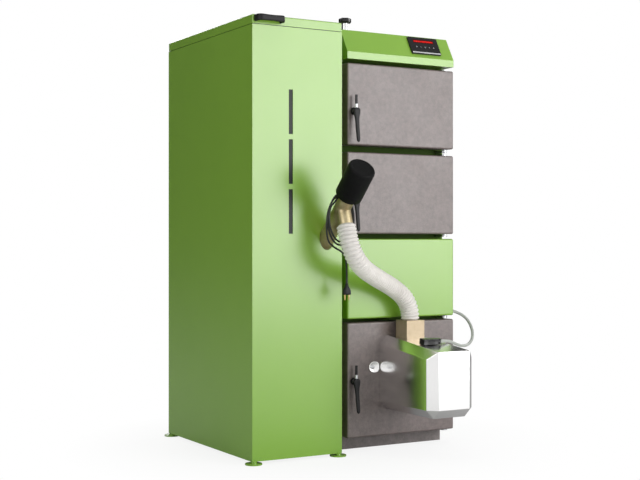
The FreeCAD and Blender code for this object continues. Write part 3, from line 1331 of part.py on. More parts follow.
def lead_loops():
    """Corner points of the hanging loops, eight to a loop, each loop a step further back."""
    half, gap = float(S.lead_loop_width) / 2, float(S.lead_loop_step)
    points = []
    for i, low in enumerate((-14, -24, -58)):
        back = -100.5 + i * gap
        top = -back + float(S.auger_tube) * 0.7071 + 10.2
        ring = [(-half, top - half), (-half, low + half), (-half / 2.4, low), (half / 2.4, low),
                (half, low + half), (half, top - half), (half / 2.4, top), (-half / 2.4, top)]
        points += [tuple(auger_exit + Vector(x, back + j * gap / 8, z)) for j, (x, z) in enumerate(ring)]
    return points


lead_exit = gland_foot + lead_way * float(S.motor_gland_length)
plug_top = auger_exit + Vector(34, -75.5, -155)
LEAD_ROUTE = [tuple(lead_exit), tuple(lead_exit + lead_way * 16)] + lead_loops()[:-6]
LEAD_ROUTE += [tuple(auger_exit + Vector(*step)) for step in ((-20, -84.5, -34), (14, -83.5, -48), (33, -79.5, -80))]
LEAD_ROUTE.append(tuple(plug_top + Z_AXIS * float(S.hose_fit) * 1.5))
piece(feature("lead", cord_tube("motor_lead", LEAD_ROUTE, float(S.lead_width))), "motor_lead")
plug_body = rounded("plug_round",
                    box("plug_block", about(S.plug_width, plug_top.x), about(S.plug_depth, plug_top.y),
                        (plug_top.z - S.plug_height, plug_top.z)), S.plug_depth / 4,
                    lambda edge: runs_along(edge, Z_AXIS))
pins = [rod("plug_pin_bar", "z", (plug_top.x + side * S.plug_pin_step / 2, plug_top.y,
                                  plug_top.z - S.plug_height - S.plug_pin_length),
            S.plug_pin_length + 2, S.plug_pin) for side in (-1, 1)]
piece(fuse("plug", plug_body, *pins), "motor_plug")

# Check every object, then write each sub-part

doc.recompute()
faults = [thing.Name for thing in doc.Objects if {"Invalid", "Error"} & set(thing.State)]
for thing in PIECES:
    if thing.Shape.isNull() or not thing.Shape.isValid() or not thing.Shape.Solids:
        faults.append(f"{thing.Label} has no valid solid")
if faults:
    raise RuntimeError(f"failed: {faults}")
os.makedirs("parts", exist_ok=True)
for thing in PIECES:
    thing.Shape.exportStep(f"parts/{thing.Label}.step")
    box_size = thing.Shape.BoundBox
    print(f"{thing.Label}: {len(thing.Shape.Solids)} solid(s), {box_size.XLength:.0f} x {box_size.YLength:.0f}"
          f" x {box_size.ZLength:.0f}")
print(f"{len(PIECES)} sub-parts written")
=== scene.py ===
"""Dresses the pellet boiler: studio, finishes, soft pieces and small fittings."""

import logging
import math
from abc import ABC, abstractmethod
from dataclasses import dataclass, field
from enum import Enum

import bmesh
import bpy
import numpy as np
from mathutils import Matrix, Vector

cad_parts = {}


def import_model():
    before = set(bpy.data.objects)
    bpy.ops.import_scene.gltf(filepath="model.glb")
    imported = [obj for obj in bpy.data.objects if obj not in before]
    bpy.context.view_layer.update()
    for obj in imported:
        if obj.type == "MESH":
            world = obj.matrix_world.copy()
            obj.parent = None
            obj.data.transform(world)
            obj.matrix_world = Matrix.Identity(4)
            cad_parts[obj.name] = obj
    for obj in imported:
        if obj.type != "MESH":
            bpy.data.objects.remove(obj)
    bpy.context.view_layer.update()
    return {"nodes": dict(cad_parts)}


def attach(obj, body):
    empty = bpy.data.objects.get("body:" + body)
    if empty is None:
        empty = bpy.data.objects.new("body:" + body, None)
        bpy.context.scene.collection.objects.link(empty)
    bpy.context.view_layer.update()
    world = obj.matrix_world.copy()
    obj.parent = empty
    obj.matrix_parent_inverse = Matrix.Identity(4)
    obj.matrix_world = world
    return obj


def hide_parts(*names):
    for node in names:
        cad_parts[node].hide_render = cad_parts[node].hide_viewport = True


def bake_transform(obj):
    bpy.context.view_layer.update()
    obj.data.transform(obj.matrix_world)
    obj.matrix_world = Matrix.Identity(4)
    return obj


LOG = logging.getLogger("pellet_boiler")
Colour = tuple[float, float, float]
Point = tuple[float, float, float]
Profile = tuple[tuple[float, float], ...]

BRUSH_ACROSS, BRUSH_ALONG, BRUSH_SHARE = 900.0, 9.0, 0.16
CRISP_ANGLE, ALL_SMOOTH = 35.0, 180.0
ROUTE_STEP = 0.004
NODE_SPACING = 190


class Axis(Enum):
    """The axis a brushed finish runs along."""

    X = 0
    Z = 2


class NodeTree:
    """Short calls for building a shader tree or a node group."""

    def __init__(self, tree: bpy.types.NodeTree) -> None:
        """Empty the tree and keep it."""
        tree.nodes.clear()
        self.tree = tree

    def add(self, kind: str, settings: dict | None = None, **inputs: object) -> bpy.types.Node:
        """Add a node and fill its inputs.

        Args:
            kind: Blender's name of the node type.
            settings: Properties of the node itself.
            inputs: Socket names, with underscores for spaces, and a value or an output to link.

        Returns:
            The new node.
        """
        node = self.tree.nodes.new(kind)
        node.location = (NODE_SPACING * len(self.tree.nodes), 0)
        for name, value in (settings or {}).items():
            setattr(node, name, value)
        for name, value in inputs.items():
            self.fill(node.inputs[name.replace("_", " ")], value)
        return node

    def group(self, effect: bpy.types.NodeTree, **inputs: object) -> bpy.types.Node:
        """Place a shared node group and fill its inputs."""
        return self.add("ShaderNodeGroup", {"node_tree": effect}, **inputs)

    def end(self, kind: str, shader: bpy.types.Node) -> None:
        """Link a shader to a new output node."""
        self.tree.links.new(shader.outputs[0], self.add(kind).inputs["Surface"])

    def fill(self, socket: bpy.types.NodeSocket, value: object) -> None:
        """Link an output to a socket, or set the socket's own value.

        Args:
            socket: The input to fill.
            value: An output of another node, or a constant.
        """
        if isinstance(value, bpy.types.NodeSocket):
            self.tree.links.new(value, socket)
        elif socket.type == "RGBA":
            socket.default_value = (*value, 1.0)
        else:
            socket.default_value = value

    def maths(self, operation: str, first: object, second: object = 0.0) -> bpy.types.NodeSocket:
        """The result of one sum on two values.

        Args:
            operation: The sum's name.
            first: An output or a number.
            second: An output or a number.

        Returns:
            The output with the result.
        """
        node = self.add("ShaderNodeMath", {"operation": operation})
        self.fill(node.inputs[0], first)
        self.fill(node.inputs[1], second)
        return node.outputs[0]

    def mixed(self, factor: object, first: object, second: object) -> bpy.types.NodeSocket:
        """A colour between two colours.

        Args:
            factor: How much of the second colour shows.
            first: An output or a colour.
            second: An output or a colour.

        Returns:
            The output with the colour.
        """
        node = self.add("ShaderNodeMix", {"data_type": "RGBA"})
        for place, value in ((0, factor), (6, first), (7, second)):
            self.fill(node.inputs[place], value)
        return node.outputs[2]

    def spread(self, value: object, low: float, high: float, to_low: object,
               to_high: object) -> bpy.types.NodeSocket:
        """A value carried from one range to another and held inside it.

        Args:
            value: The value to carry.
            low: The start of its range.
            high: The end of its range.
            to_low: The result at the start.
            to_high: The result at the end.

        Returns:
            The output with the result.
        """
        node = self.add("ShaderNodeMapRange", {"clamp": True}, Value=value, From_Min=low, From_Max=high,
                        To_Min=to_low, To_Max=to_high)
        return node.outputs[0]


def new_group(name: str, inputs: dict[str, tuple[str, object]],
              outputs: dict[str, str]) -> tuple[NodeTree, dict, dict]:
    """Start a shader node group with named sockets.

    Args:
        name: The group's name.
        inputs: Socket name to its kind and default.
        outputs: Socket name to its kind.

    Returns:
        The group's builder, what the group is given and what it gives, by socket name.
    """
    group = bpy.data.node_groups.new(name, "ShaderNodeTree")
    kinds = {"float": "NodeSocketFloat", "colour": "NodeSocketColor", "vector": "NodeSocketVector"}
    for socket_name, (kind, default) in inputs.items():
        socket = group.interface.new_socket(socket_name, in_out="INPUT", socket_type=kinds[kind])
        if default is not None:
            socket.default_value = (*default, 1.0) if kind == "colour" else default
    for socket_name, kind in outputs.items():
        group.interface.new_socket(socket_name, in_out="OUTPUT", socket_type=kinds[kind])
    tree = NodeTree(group)
    given, gives = tree.add("NodeGroupInput").outputs, tree.add("NodeGroupOutput").inputs
    return tree, {key: given[key] for key in inputs}, {key: gives[key] for key in outputs}


def mottle_group() -> bpy.types.NodeTree:
    """Clouded colour: a broad noise and half of a finer one added, between two colours.

    Returns:
        The node group.
    """
    tree, given, gives = new_group(
        "mottle", {"Vector": ("vector", None), "Scale": ("float", 20.0), "Contrast": ("float", 0.5),
                   "Dark": ("colour", (0.2, 0.2, 0.2)), "Pale": ("colour", (0.4, 0.4, 0.4))},
        {"Color": "colour", "Mask": "float"})
    broad = tree.add("ShaderNodeTexNoise", Vector=given["Vector"], Scale=given["Scale"], Detail=4.0,
                     Roughness=0.55)
    fine = tree.add("ShaderNodeTexNoise", Vector=given["Vector"],
                    Scale=tree.maths("MULTIPLY", given["Scale"], 4.3), Detail=3.0)
    total = tree.maths("ADD", broad.outputs[0], tree.maths("MULTIPLY", fine.outputs[0], 0.5))
    swing = tree.maths("MULTIPLY", tree.maths("SUBTRACT", total, 0.75),
                       tree.maths("MULTIPLY", given["Contrast"], 4.0))
    mask = tree.spread(tree.maths("ADD", swing, 0.5), 0.0, 1.0, 0.0, 1.0)
    tree.fill(gives["Color"], tree.mixed(mask, given["Dark"], given["Pale"]))
    tree.fill(gives["Mask"], mask)
    return tree.tree


def grain_group() -> bpy.types.NodeTree:
    """Height of a sprayed or moulded skin: a noise and a cell pattern added.

    Returns:
        The node group.
    """
    tree, given, gives = new_group(
        "grain", {"Vector": ("vector", None), "Scale": ("float", 600.0), "Cells": ("float", 0.4)},
        {"Height": "float"})
    noise = tree.add("ShaderNodeTexNoise", Vector=given["Vector"], Scale=given["Scale"], Detail=3.0)
    cells = tree.add("ShaderNodeTexVoronoi", {"feature": "SMOOTH_F1"}, Vector=given["Vector"],
                     Scale=given["Scale"])
    pits = tree.maths("MULTIPLY", cells.outputs["Distance"], given["Cells"])
    tree.fill(gives["Height"], tree.maths("ADD", noise.outputs[0], pits))
    return tree.tree


def brush_group() -> bpy.types.NodeTree:
    """Brushed lines: a noise drawn out along one axis by the stretch vector.

    Returns:
        The node group.
    """
    tree, given, gives = new_group(
        "brush_lines", {"Vector": ("vector", None),
                        "Stretch": ("vector", (BRUSH_ACROSS, BRUSH_ACROSS, BRUSH_ALONG))}, {"Mask": "float"})
    drawn = tree.add("ShaderNodeVectorMath", {"operation": "MULTIPLY"})
    tree.fill(drawn.inputs[0], given["Vector"])
    tree.fill(drawn.inputs[1], given["Stretch"])
    noise = tree.add("ShaderNodeTexNoise", Vector=drawn.outputs[0], Scale=1.0, Detail=4.0, Roughness=0.6)
    tree.fill(gives["Mask"], tree.spread(noise.outputs[0], 0.3, 0.7, 0.0, 1.0))
    return tree.tree


def handling_group() -> bpy.types.NodeTree:
    """Roughness that varies softly, as on a wiped and handled surface.

    Returns:
        The node group.
    """
    tree, given, gives = new_group(
        "handling", {"Vector": ("vector", None), "Roughness": ("float", 0.4), "Swing": ("float", 0.1)},
        {"Roughness": "float"})
    noise = tree.add("ShaderNodeTexNoise", Vector=given["Vector"], Scale=7.0, Detail=6.0, Roughness=0.7)
    swing = tree.maths("MULTIPLY", tree.maths("SUBTRACT", noise.outputs[0], 0.5),
                       tree.maths("MULTIPLY", given["Swing"], 4.0))
    rough = tree.maths("ADD", given["Roughness"], swing)
    tree.fill(gives["Roughness"], tree.spread(rough, 0.02, 0.98, 0.02, 0.98))
    return tree.tree


@dataclass(frozen=True)
class Effects:
    """Shader node groups that several finishes share."""

    mottle: bpy.types.NodeTree = field(default_factory=mottle_group)
    grain: bpy.types.NodeTree = field(default_factory=grain_group)
    brush: bpy.types.NodeTree = field(default_factory=brush_group)
    handling: bpy.types.NodeTree = field(default_factory=handling_group)


@dataclass(frozen=True)
class Finish:
    """A surface finish: two shades of colour, a gloss and a skin.

    The dark and pale shades are clouded into each other, the gloss varies with handling, and
    the skin's grain or brushed lines raise the surface.
    """

    name: str
    dark: Colour
    pale: Colour
    roughness: float = 0.45
    swing: float = 0.06
    metallic: float = 0.0
    cloud: float = 6.0
    contrast: float = 0.35
    grain: float = 700.0
    cells: float = 0.3
    lift: float = 0.00002
    brush: Axis | None = None
    coat: float = 0.0
    coat_roughness: float = 0.12
    coat_ior: float = 1.5
    specular: float = 0.5
    glow: float = 0.0

    def build(self, effects: Effects) -> bpy.types.Material:
        """Make the material.

        Args:
            effects: The shared node groups.

        Returns:
            The new material.
        """
        material = bpy.data.materials.new(self.name)
        material.use_nodes = True
        tree = NodeTree(material.node_tree)
        place = tree.add("ShaderNodeTexCoord").outputs["Object"]
        colour = tree.group(effects.mottle, Vector=place, Scale=self.cloud, Contrast=self.contrast,
                            Dark=self.dark, Pale=self.pale).outputs["Color"]
        roughness = tree.group(effects.handling, Vector=place, Roughness=self.roughness,
                               Swing=self.swing).outputs["Roughness"]
        if self.brush is None:
            height = tree.group(effects.grain, Vector=place, Scale=self.grain,
                                Cells=self.cells).outputs["Height"]
        else:
            stretch = [BRUSH_ACROSS] * 3
            stretch[self.brush.value] = BRUSH_ALONG
            height = tree.group(effects.brush, Vector=place, Stretch=tuple(stretch)).outputs["Mask"]
            roughness = tree.maths("ADD", roughness, tree.maths("MULTIPLY", height, BRUSH_SHARE))
        bump = tree.add("ShaderNodeBump", Strength=1.0, Distance=self.lift, Height=height)
        shader = tree.add("ShaderNodeBsdfPrincipled", Base_Color=colour, Roughness=roughness,
                          Metallic=self.metallic, Normal=bump.outputs[0], Coat_Weight=self.coat,
                          Coat_Roughness=self.coat_roughness, Coat_IOR=self.coat_ior,
                          Specular_IOR_Level=self.specular)
        if self.glow:
            tree.fill(shader.inputs["Emission Color"], colour)
            tree.fill(shader.inputs["Emission Strength"], self.glow)
        tree.end("ShaderNodeOutputMaterial", shader)
        return material


FINISHES = (
    Finish("green_powder_coat", (0.205, 0.418, 0.024), (0.228, 0.450, 0.031), roughness=0.33, swing=0.04,
           cloud=2.2, contrast=0.25, grain=420.0, cells=0.6, lift=0.00004, coat=1.0, coat_roughness=0.26,
           coat_ior=1.54),
    # painted shade: a dark copy of the green paint for the front frame, which shows only in the shaded gaps
    # between the doors
    Finish("painted_shade_green", (0.045, 0.098, 0.008), (0.055, 0.115, 0.011), roughness=0.6, cloud=3.0,
           specular=0.15),
    Finish("hammered_enamel", (0.127, 0.101, 0.096), (0.195, 0.156, 0.148), roughness=0.38, swing=0.07,
           cloud=64.0, contrast=0.55, grain=210.0, cells=1.4, lift=0.0002, specular=0.75),
    Finish("plinth_paint", (0.17, 0.15, 0.145), (0.26, 0.23, 0.222), roughness=0.55, cloud=40.0, contrast=0.5,
           grain=220.0, cells=1.2, lift=0.0002),
    Finish("boiler_plate", (0.14, 0.135, 0.13), (0.30, 0.29, 0.28), roughness=0.5, metallic=0.85, cloud=9.0,
           contrast=0.8, grain=300.0, lift=0.00008),
    Finish("zinc_plate", (0.52, 0.53, 0.55), (0.72, 0.73, 0.74), roughness=0.28, metallic=1.0, cloud=14.0,
           contrast=0.5, brush=Axis.Z, lift=0.00001),
    Finish("polished_stainless", (0.93, 0.925, 0.92), (0.965, 0.96, 0.955), roughness=0.21, swing=0.03,
           metallic=1.0, cloud=5.0, contrast=0.3, grain=60.0, cells=0.2, lift=0.000004),
    Finish("passivated_tube", (0.30, 0.235, 0.115), (0.62, 0.53, 0.33), roughness=0.33, metallic=0.9,
           cloud=11.0, contrast=0.7, brush=Axis.X, lift=0.00001),
    Finish("warm_plate", (0.41, 0.325, 0.215), (0.53, 0.43, 0.30), roughness=0.36, metallic=0.6, cloud=12.0,
           contrast=0.45, brush=Axis.Z, lift=0.00001),
    Finish("black_moulding", (0.007, 0.007, 0.0075), (0.014, 0.014, 0.015), roughness=0.46, cloud=18.0,
           grain=1400.0, cells=0.8, lift=0.00006, specular=0.25),
    Finish("black_gloss", (0.005, 0.005, 0.0055), (0.011, 0.011, 0.012), roughness=0.24, cloud=18.0,
           grain=900.0, lift=0.00001, specular=0.35),
    Finish("motor_plastic", (0.004, 0.004, 0.0042), (0.0075, 0.0075, 0.0078), roughness=0.5, cloud=14.0,
           grain=1500.0, cells=0.9, lift=0.00008, specular=0.09),
    Finish("hose_vinyl", (0.72, 0.69, 0.65), (0.86, 0.83, 0.79), roughness=0.5, cloud=26.0, contrast=0.4,
           grain=1100.0, lift=0.00004),
    Finish("grey_sheath", (0.34, 0.36, 0.33), (0.48, 0.50, 0.46), roughness=0.5, cloud=30.0, grain=1600.0,
           lift=0.00003),
    Finish("black_sheath", (0.009, 0.009, 0.01), (0.018, 0.018, 0.02), roughness=0.42, cloud=30.0,
           grain=1600.0, lift=0.00003),
    # painted shade: an opaque near-black pane stands in for the shaded inside of the hopper seen through the
    # slots
    Finish("smoked_pane", (0.006, 0.009, 0.006), (0.012, 0.016, 0.011), roughness=0.3, swing=0.05, cloud=8.0,
           lift=0.000002, specular=0.2),
    Finish("display_window", (0.030, 0.002, 0.002), (0.055, 0.003, 0.003), roughness=0.25, cloud=60.0,
           specular=0.1, glow=0.4),
    Finish("display_light", (0.42, 0.006, 0.005), (0.80, 0.02, 0.015), roughness=0.3, cloud=90.0,
           specular=0.1, glow=0.42),
    Finish("key_black", (0.012, 0.012, 0.013), (0.022, 0.022, 0.024), roughness=0.38, cloud=80.0,
           grain=1800.0, lift=0.00003),
    Finish("pale_keys", (0.50, 0.50, 0.51), (0.66, 0.66, 0.67), roughness=0.42, cloud=80.0, grain=1800.0,
           lift=0.00003),
    Finish("mineral_wool", (0.46, 0.40, 0.20), (0.70, 0.63, 0.40), roughness=0.9, cloud=60.0, contrast=0.8,
           grain=260.0, cells=1.4, lift=0.0012),
    Finish("liner_board", (0.55, 0.48, 0.37), (0.74, 0.68, 0.57), roughness=0.85, cloud=45.0, contrast=0.7,
           grain=320.0, cells=1.5, lift=0.0006),
    Finish("rope_seal", (0.62, 0.60, 0.54), (0.82, 0.80, 0.74), roughness=0.9, cloud=120.0, contrast=0.8,
           grain=500.0, cells=1.6, lift=0.0008),
    Finish("foam_strip", (0.02, 0.02, 0.02), (0.05, 0.05, 0.05), roughness=0.9, cloud=90.0, grain=900.0,
           cells=1.5, lift=0.0004),
    Finish("bright_chrome", (0.52, 0.52, 0.52), (0.62, 0.62, 0.62), roughness=0.12, metallic=1.0, cloud=20.0,
           contrast=0.3, brush=Axis.Z, lift=0.000004),
    Finish("brass_pin", (0.62, 0.43, 0.16), (0.78, 0.58, 0.27), roughness=0.25, metallic=1.0, cloud=40.0,
           brush=Axis.Z, lift=0.00001),
)

NODE_FINISH = {
    "green_powder_coat": ("jacket_left_panel", "jacket_right_panel", "jacket_back_panel", "jacket_top_panel",
                          "front_cover_panel", "console_cover", "hopper_shell", "hopper_front_panel",
                          "hopper_base", "hopper_feet", "hopper_lid"),
    # the front frame gets the green paint darkened as painted shade
    "painted_shade_green": ("jacket_front_frame",),
    "hammered_enamel": ("lower_door", "middle_door", "upper_door"),
    "plinth_paint": ("boiler_plinth", "burner_neck"),
    "boiler_plate": ("boiler_vessel", "turbulators", "ash_pan", "flue_stub", "auger_screw", "burner_tube"),
    "bright_chrome": ("damper_rod",),
    "zinc_plate": ("water_sockets", "damper_bush", "hopper_bin", "door_hinges", "lid_hinges", "burner_fan",
                   "peephole_cover"),
    "polished_stainless": ("burner_cover",),
    "passivated_tube": ("auger_tube",),
    "warm_plate": ("fuel_chute",),
    "black_moulding": ("lower_handle", "middle_handle", "upper_handle", "lid_handle", "auger_motor",
                       "cable_gland", "motor_plug"),
    "black_gloss": ("controller_housing", "damper_knob", "burner_connector"),
    "hose_vinyl": ("feed_hose",),
    "grey_sheath": ("burner_cable",),
    "black_sheath": ("motor_lead",),
    # the sight windows are opaque panes painted with the shade of the hopper's inside
    "smoked_pane": ("sight_windows",),
    "display_window": ("controller_display",),
    "key_black": ("menu_button", "minus_button", "power_button", "plus_button", "enter_button"),
    "mineral_wool": ("insulation_boards",),
    "liner_board": ("lower_door_liner", "middle_door_liner", "upper_door_liner"),
    "rope_seal": ("door_gaskets",),
    "foam_strip": ("lid_seal",),
}


@dataclass
class Palette:
    """Every finish as a material, by name."""

    effects: Effects = field(default_factory=Effects)
    materials: dict[str, bpy.types.Material] = field(default_factory=dict)

    def __post_init__(self) -> None:
        """Build each finish once."""
        self.materials.update({finish.name: finish.build(self.effects) for finish in FINISHES})

    def dress_nodes(self, nodes: dict[str, bpy.types.Object]) -> None:
        """Give every node of the frame its finish.

        Args:
            nodes: The frame's objects by name.
        """
        for finish, names in NODE_FINISH.items():
            for name in names:
                for slot in nodes[name].material_slots:
                    slot.material = self.materials[finish]


def unit(vectors: np.ndarray) -> np.ndarray:
    """Vectors divided by their own lengths."""
    return vectors / np.linalg.norm(vectors, axis=-1, keepdims=True)


def signed_power(values: np.ndarray, power: float | np.ndarray) -> np.ndarray:
    """Values raised to a power with their signs kept."""
    return np.sign(values) * np.abs(values) ** power


def full_turn(columns: int) -> np.ndarray:
    """Equal steps of one turn, in radians, without its end."""
    return np.linspace(0.0, 2 * np.pi, columns, endpoint=False)


def path_length(path: np.ndarray) -> float:
    """The length of a line of points."""
    return float(np.linalg.norm(np.diff(path, axis=0), axis=1).sum())


def even_path(points: np.ndarray, step: float) -> np.ndarray:
    """Points at equal distances along a line, by linear steps of its running length.

    Args:
        points: The line.
        step: The distance wanted, met as nearly as whole steps allow.

    Returns:
        The evenly spaced points.
    """
    running = np.concatenate([[0.0], np.cumsum(np.linalg.norm(np.diff(points, axis=0), axis=1))])
    wanted = np.linspace(0.0, running[-1], max(4, int(round(running[-1] / step)) + 1))
    return np.stack([np.interp(wanted, running, points[:, i]) for i in range(3)], axis=1)


def path_frames(path: np.ndarray, steady: Point) -> tuple[np.ndarray, np.ndarray]:
    """Two directions square to a path at each point.

    Args:
        path: The line of points.
        steady: The direction that the first one is square to.

    Returns:
        The side direction and the other one.
    """
    along = unit(np.gradient(path, axis=0))
    side = unit(np.cross(along, np.array(steady)))
    return side, np.cross(along, side)


def oval_sections(path: np.ndarray, widths: np.ndarray, depths: np.ndarray, steady: Point, power: float = 4.0,
                  columns: int = 32) -> np.ndarray:
    """Rounded sections along a path.

    Each section is a superellipse: the cosine and sine of the turn, each raised to two over
    the power with its sign kept, times half the width and half the depth.

    Args:
        path: The middle of each section.
        widths: The size of each section along the side direction.
        depths: The size of each section along the other direction.
        steady: The direction that the side direction is square to.
        power: Two for an ellipse, more for squarer corners.
        columns: Points round each section.

    Returns:
        The grid of points.
    """
    side, up = path_frames(path, steady)
    turn = full_turn(columns)
    wide, deep = signed_power(np.cos(turn), 2.0 / power), signed_power(np.sin(turn), 2.0 / power)
    return (path[:, None, :] + 0.5 * widths[:, None, None] * wide[None, :, None] * side[:, None, :]
            + 0.5 * depths[:, None, None] * deep[None, :, None] * up[:, None, :])


def tube_points(path: np.ndarray, radii: np.ndarray, columns: int, steady: Point) -> np.ndarray:
    """Rings of one radius each about a path: round sections twice the radius across."""
    return oval_sections(path, 2 * radii, 2 * radii, steady, 2.0, columns)


def route_curve(name: str, route: np.ndarray, bevel: float, resolution: int) -> bpy.types.Object:
    """A smooth curve with the route's points as its control points.

    Args:
        name: The curve's name.
        route: The points.
        bevel: The radius of the round section.
        resolution: Steps between control points.

    Returns:
        The new object.
    """
    curve = bpy.data.curves.new(name, "CURVE")
    curve.dimensions = "3D"
    curve.resolution_u = resolution
    curve.bevel_depth = bevel
    curve.bevel_resolution = 5
    curve.use_fill_caps = True
    spline = curve.splines.new("NURBS")
    spline.points.add(len(route) - 1)
    spline.points.foreach_set("co", np.column_stack([route, np.ones(len(route))]).ravel())
    spline.order_u = 3
    spline.use_endpoint_u = True
    thing = bpy.data.objects.new(name, curve)
    bpy.context.scene.collection.objects.link(thing)
    return thing


def read_route(route: np.ndarray, step: float) -> np.ndarray:
    """Evenly spaced points read from a route's smooth curve.

    Args:
        route: The control points.
        step: The distance between the points wanted.

    Returns:
        The points.
    """
    thing = route_curve("route_reader", route, 0.0, 24)
    bpy.context.view_layer.update()
    mesh = bpy.data.meshes.new_from_object(thing.evaluated_get(bpy.context.evaluated_depsgraph_get()))
    points = np.empty(len(mesh.vertices) * 3)
    mesh.vertices.foreach_get("co", points)
    bpy.data.objects.remove(thing)
    bpy.data.meshes.remove(mesh)
    return even_path(points.reshape(-1, 3), step)


@dataclass
class Shell:
    """Gathers several grids into one piece, each grid with its own finish."""

    name: str
    vertices: list[np.ndarray] = field(default_factory=list)
    faces: list[tuple[int, ...]] = field(default_factory=list)
    finishes: list[str] = field(default_factory=list)
    shades: list[int] = field(default_factory=list)
    count: int = 0

    def grid(self, points: np.ndarray, finish: str, capped: bool = False, wrap_rows: bool = False,
             wrap_columns: bool = True) -> "Shell":
        """Add a grid of points, rows along it and columns round it, each cell one face.

        Args:
            points: An array of rows by columns by three.
            finish: The finish of these faces.
            capped: Close both ends with a fan about the end ring's middle.
            wrap_rows: Join the last row to the first.
            wrap_columns: Join the last column to the first.

        Returns:
            The collector, so that calls can follow each other.
        """
        rows, columns = points.shape[:2]
        index = np.arange(rows * columns).reshape(rows, columns) + self.count
        index = np.column_stack([index, index[:, 0]]) if wrap_columns else index
        index = np.vstack([index, index[0]]) if wrap_rows else index
        cells = np.stack([index[:-1, :-1], index[:-1, 1:], index[1:, 1:], index[1:, :-1]], axis=-1)
        faces = cells.reshape(-1, 4).tolist()
        self.vertices.append(points.reshape(-1, 3))
        self.count += rows * columns
        if capped:
            self.vertices.append(np.stack([points[0].mean(0), points[-1].mean(0)]))
            first, last, hub = index[0], index[-1], np.full(columns, self.count)
            faces += np.stack([first[1:], first[:-1], hub], axis=-1).tolist()
            faces += np.stack([last[:-1], last[1:], hub + 1], axis=-1).tolist()
            self.count += 2
        if finish not in self.finishes:
            self.finishes.append(finish)
        self.faces += faces
        self.shades += [self.finishes.index(finish)] * len(faces)
        return self

    def make(self, palette: Palette, crisp_angle: float = CRISP_ANGLE) -> bpy.types.Object:
        """Put the gathered grids into one object with outward faces.

        Args:
            palette: The finishes.
            crisp_angle: Edges sharper than this many degrees stay crisp.

        Returns:
            The new object.
        """
        mesh = bpy.data.meshes.new(self.name)
        mesh.from_pydata(np.vstack(self.vertices).tolist(), [], self.faces)
        mesh.polygons.foreach_set("material_index", np.array(self.shades, dtype=np.int32))
        for finish in self.finishes:
            mesh.materials.append(palette.materials[finish])
        work = bmesh.new()
        work.from_mesh(mesh)
        bmesh.ops.remove_doubles(work, verts=work.verts, dist=1e-6)
        bmesh.ops.recalc_face_normals(work, faces=work.faces)
        work.to_mesh(mesh)
        work.free()
        mesh.polygons.foreach_set("use_smooth", np.ones(len(mesh.polygons), dtype=bool))
        mesh.set_sharp_from_angle(angle=math.radians(crisp_angle))
        thing = bpy.data.objects.new(self.name, mesh)
        bpy.context.scene.collection.objects.link(thing)
        return thing


def seat(thing: bpy.types.Object, body: str, node: str = "") -> bpy.types.Object:
    """Give a piece its body, and let it stand for a node of the frame.

    Args:
        thing: The piece.
        body: The body that it rides on.
        node: The node that it stands for, if any.

    Returns:
        The piece.
    """
    if node:
        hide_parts(node)
    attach(thing, body)
    return thing


@dataclass(kw_only=True)
class Fitting(ABC):
    """A piece that stands for one node of the frame and rides on one body."""

    node: str = ""
    slot: str = "black_plastic"
    body: str = "boiler"

    @abstractmethod
    def shell(self) -> Shell:
        """The piece's grids."""

    def build(self, palette: Palette) -> bpy.types.Object:
        """Make the piece and seat it.

        Args:
            palette: The finishes.

        Returns:
            The piece.
        """
        return seat(self.shell().make(palette), self.body, self.node)


@dataclass(frozen=True)
class Frame:
    """A place with three directions, for pieces that sit on a slope or an axis."""

    origin: Point
    across: Point = (1, 0, 0)
    along: Point = (0, 1, 0)
    out: Point = (0, 0, 1)

    def place(self, points: np.ndarray) -> np.ndarray:
        """Carry local points into the shared frame: origin plus each part times its direction."""
        return np.array(self.origin) + points @ np.array([self.across, self.along, self.out])


def turned(profile: Profile, columns: int = 64, lobes: int = 0, depth: float = 0.0) -> np.ndarray:
    """A turned surface about the local third axis.

    Each row is a ring of one radius at one height, and lobes shrink the radius by a share of
    the depth that follows half of one minus the cosine of the turn times the lobe count.

    Args:
        profile: Pairs of height and radius.
        columns: Points round each ring.
        lobes: How many lobes stand round the ring.
        depth: How far the radius draws in between the lobes, as a share.

    Returns:
        The grid of points.
    """
    height, radius = np.array(profile).T
    turn = full_turn(columns)
    drawn = 1.0 - depth * (0.5 - 0.5 * np.cos(lobes * turn))
    flat = radius[:, None, None] * np.stack([np.cos(turn) * drawn, np.sin(turn) * drawn], axis=-1)[None]
    return np.concatenate([flat, np.broadcast_to(height[:, None, None], (*flat.shape[:2], 1))], axis=-1)


def hexagon(profile: Profile, columns: int = 60) -> np.ndarray:
    """A hexagonal bar: the flat distance over the cosine of the turn left over from each sixth.

    Args:
        profile: Pairs of height and flat distance.
        columns: Points round each ring, a multiple of six.

    Returns:
        The grid of points.
    """
    stretch = 1.0 / np.cos(np.mod(full_turn(columns), np.pi / 3) - np.pi / 6)
    return turned(profile, columns) * np.stack([stretch, stretch, np.ones(columns)], axis=-1)[None]


def eased_ends(count: int, rows: int) -> np.ndarray:
    """Shares that round off both ends of a swept piece as quarter circles of the end rows."""
    step = np.minimum(np.arange(count), np.arange(count)[::-1]) / rows
    return np.sqrt(1.0 - (1.0 - np.clip(step, 0.0, 1.0)) ** 2) * 0.98 + 0.02


def block(low: Point, high: Point, edge: float = 0.0006) -> np.ndarray:
    """A block as four square rings, the end ones drawn in by the chamfered edge.

    Args:
        low: Its lowest corner.
        high: Its highest corner.
        edge: The chamfer.

    Returns:
        The grid of points.
    """
    low_at, high_at = np.array(low), np.array(high)
    middle, half = (low_at + high_at) / 2, (high_at - low_at) / 2
    square = np.array([(1, 1), (-1, 1), (-1, -1), (1, -1)], dtype=float)
    insets = np.array([edge, 0.0, 0.0, edge])
    heights = np.array([-half[2], -half[2] + edge, half[2] - edge, half[2]])
    flat = square[None] * (half[:2][None, None] - insets[:, None, None])
    return middle + np.concatenate([flat, np.broadcast_to(heights[:, None, None], (4, 4, 1))], axis=-1)


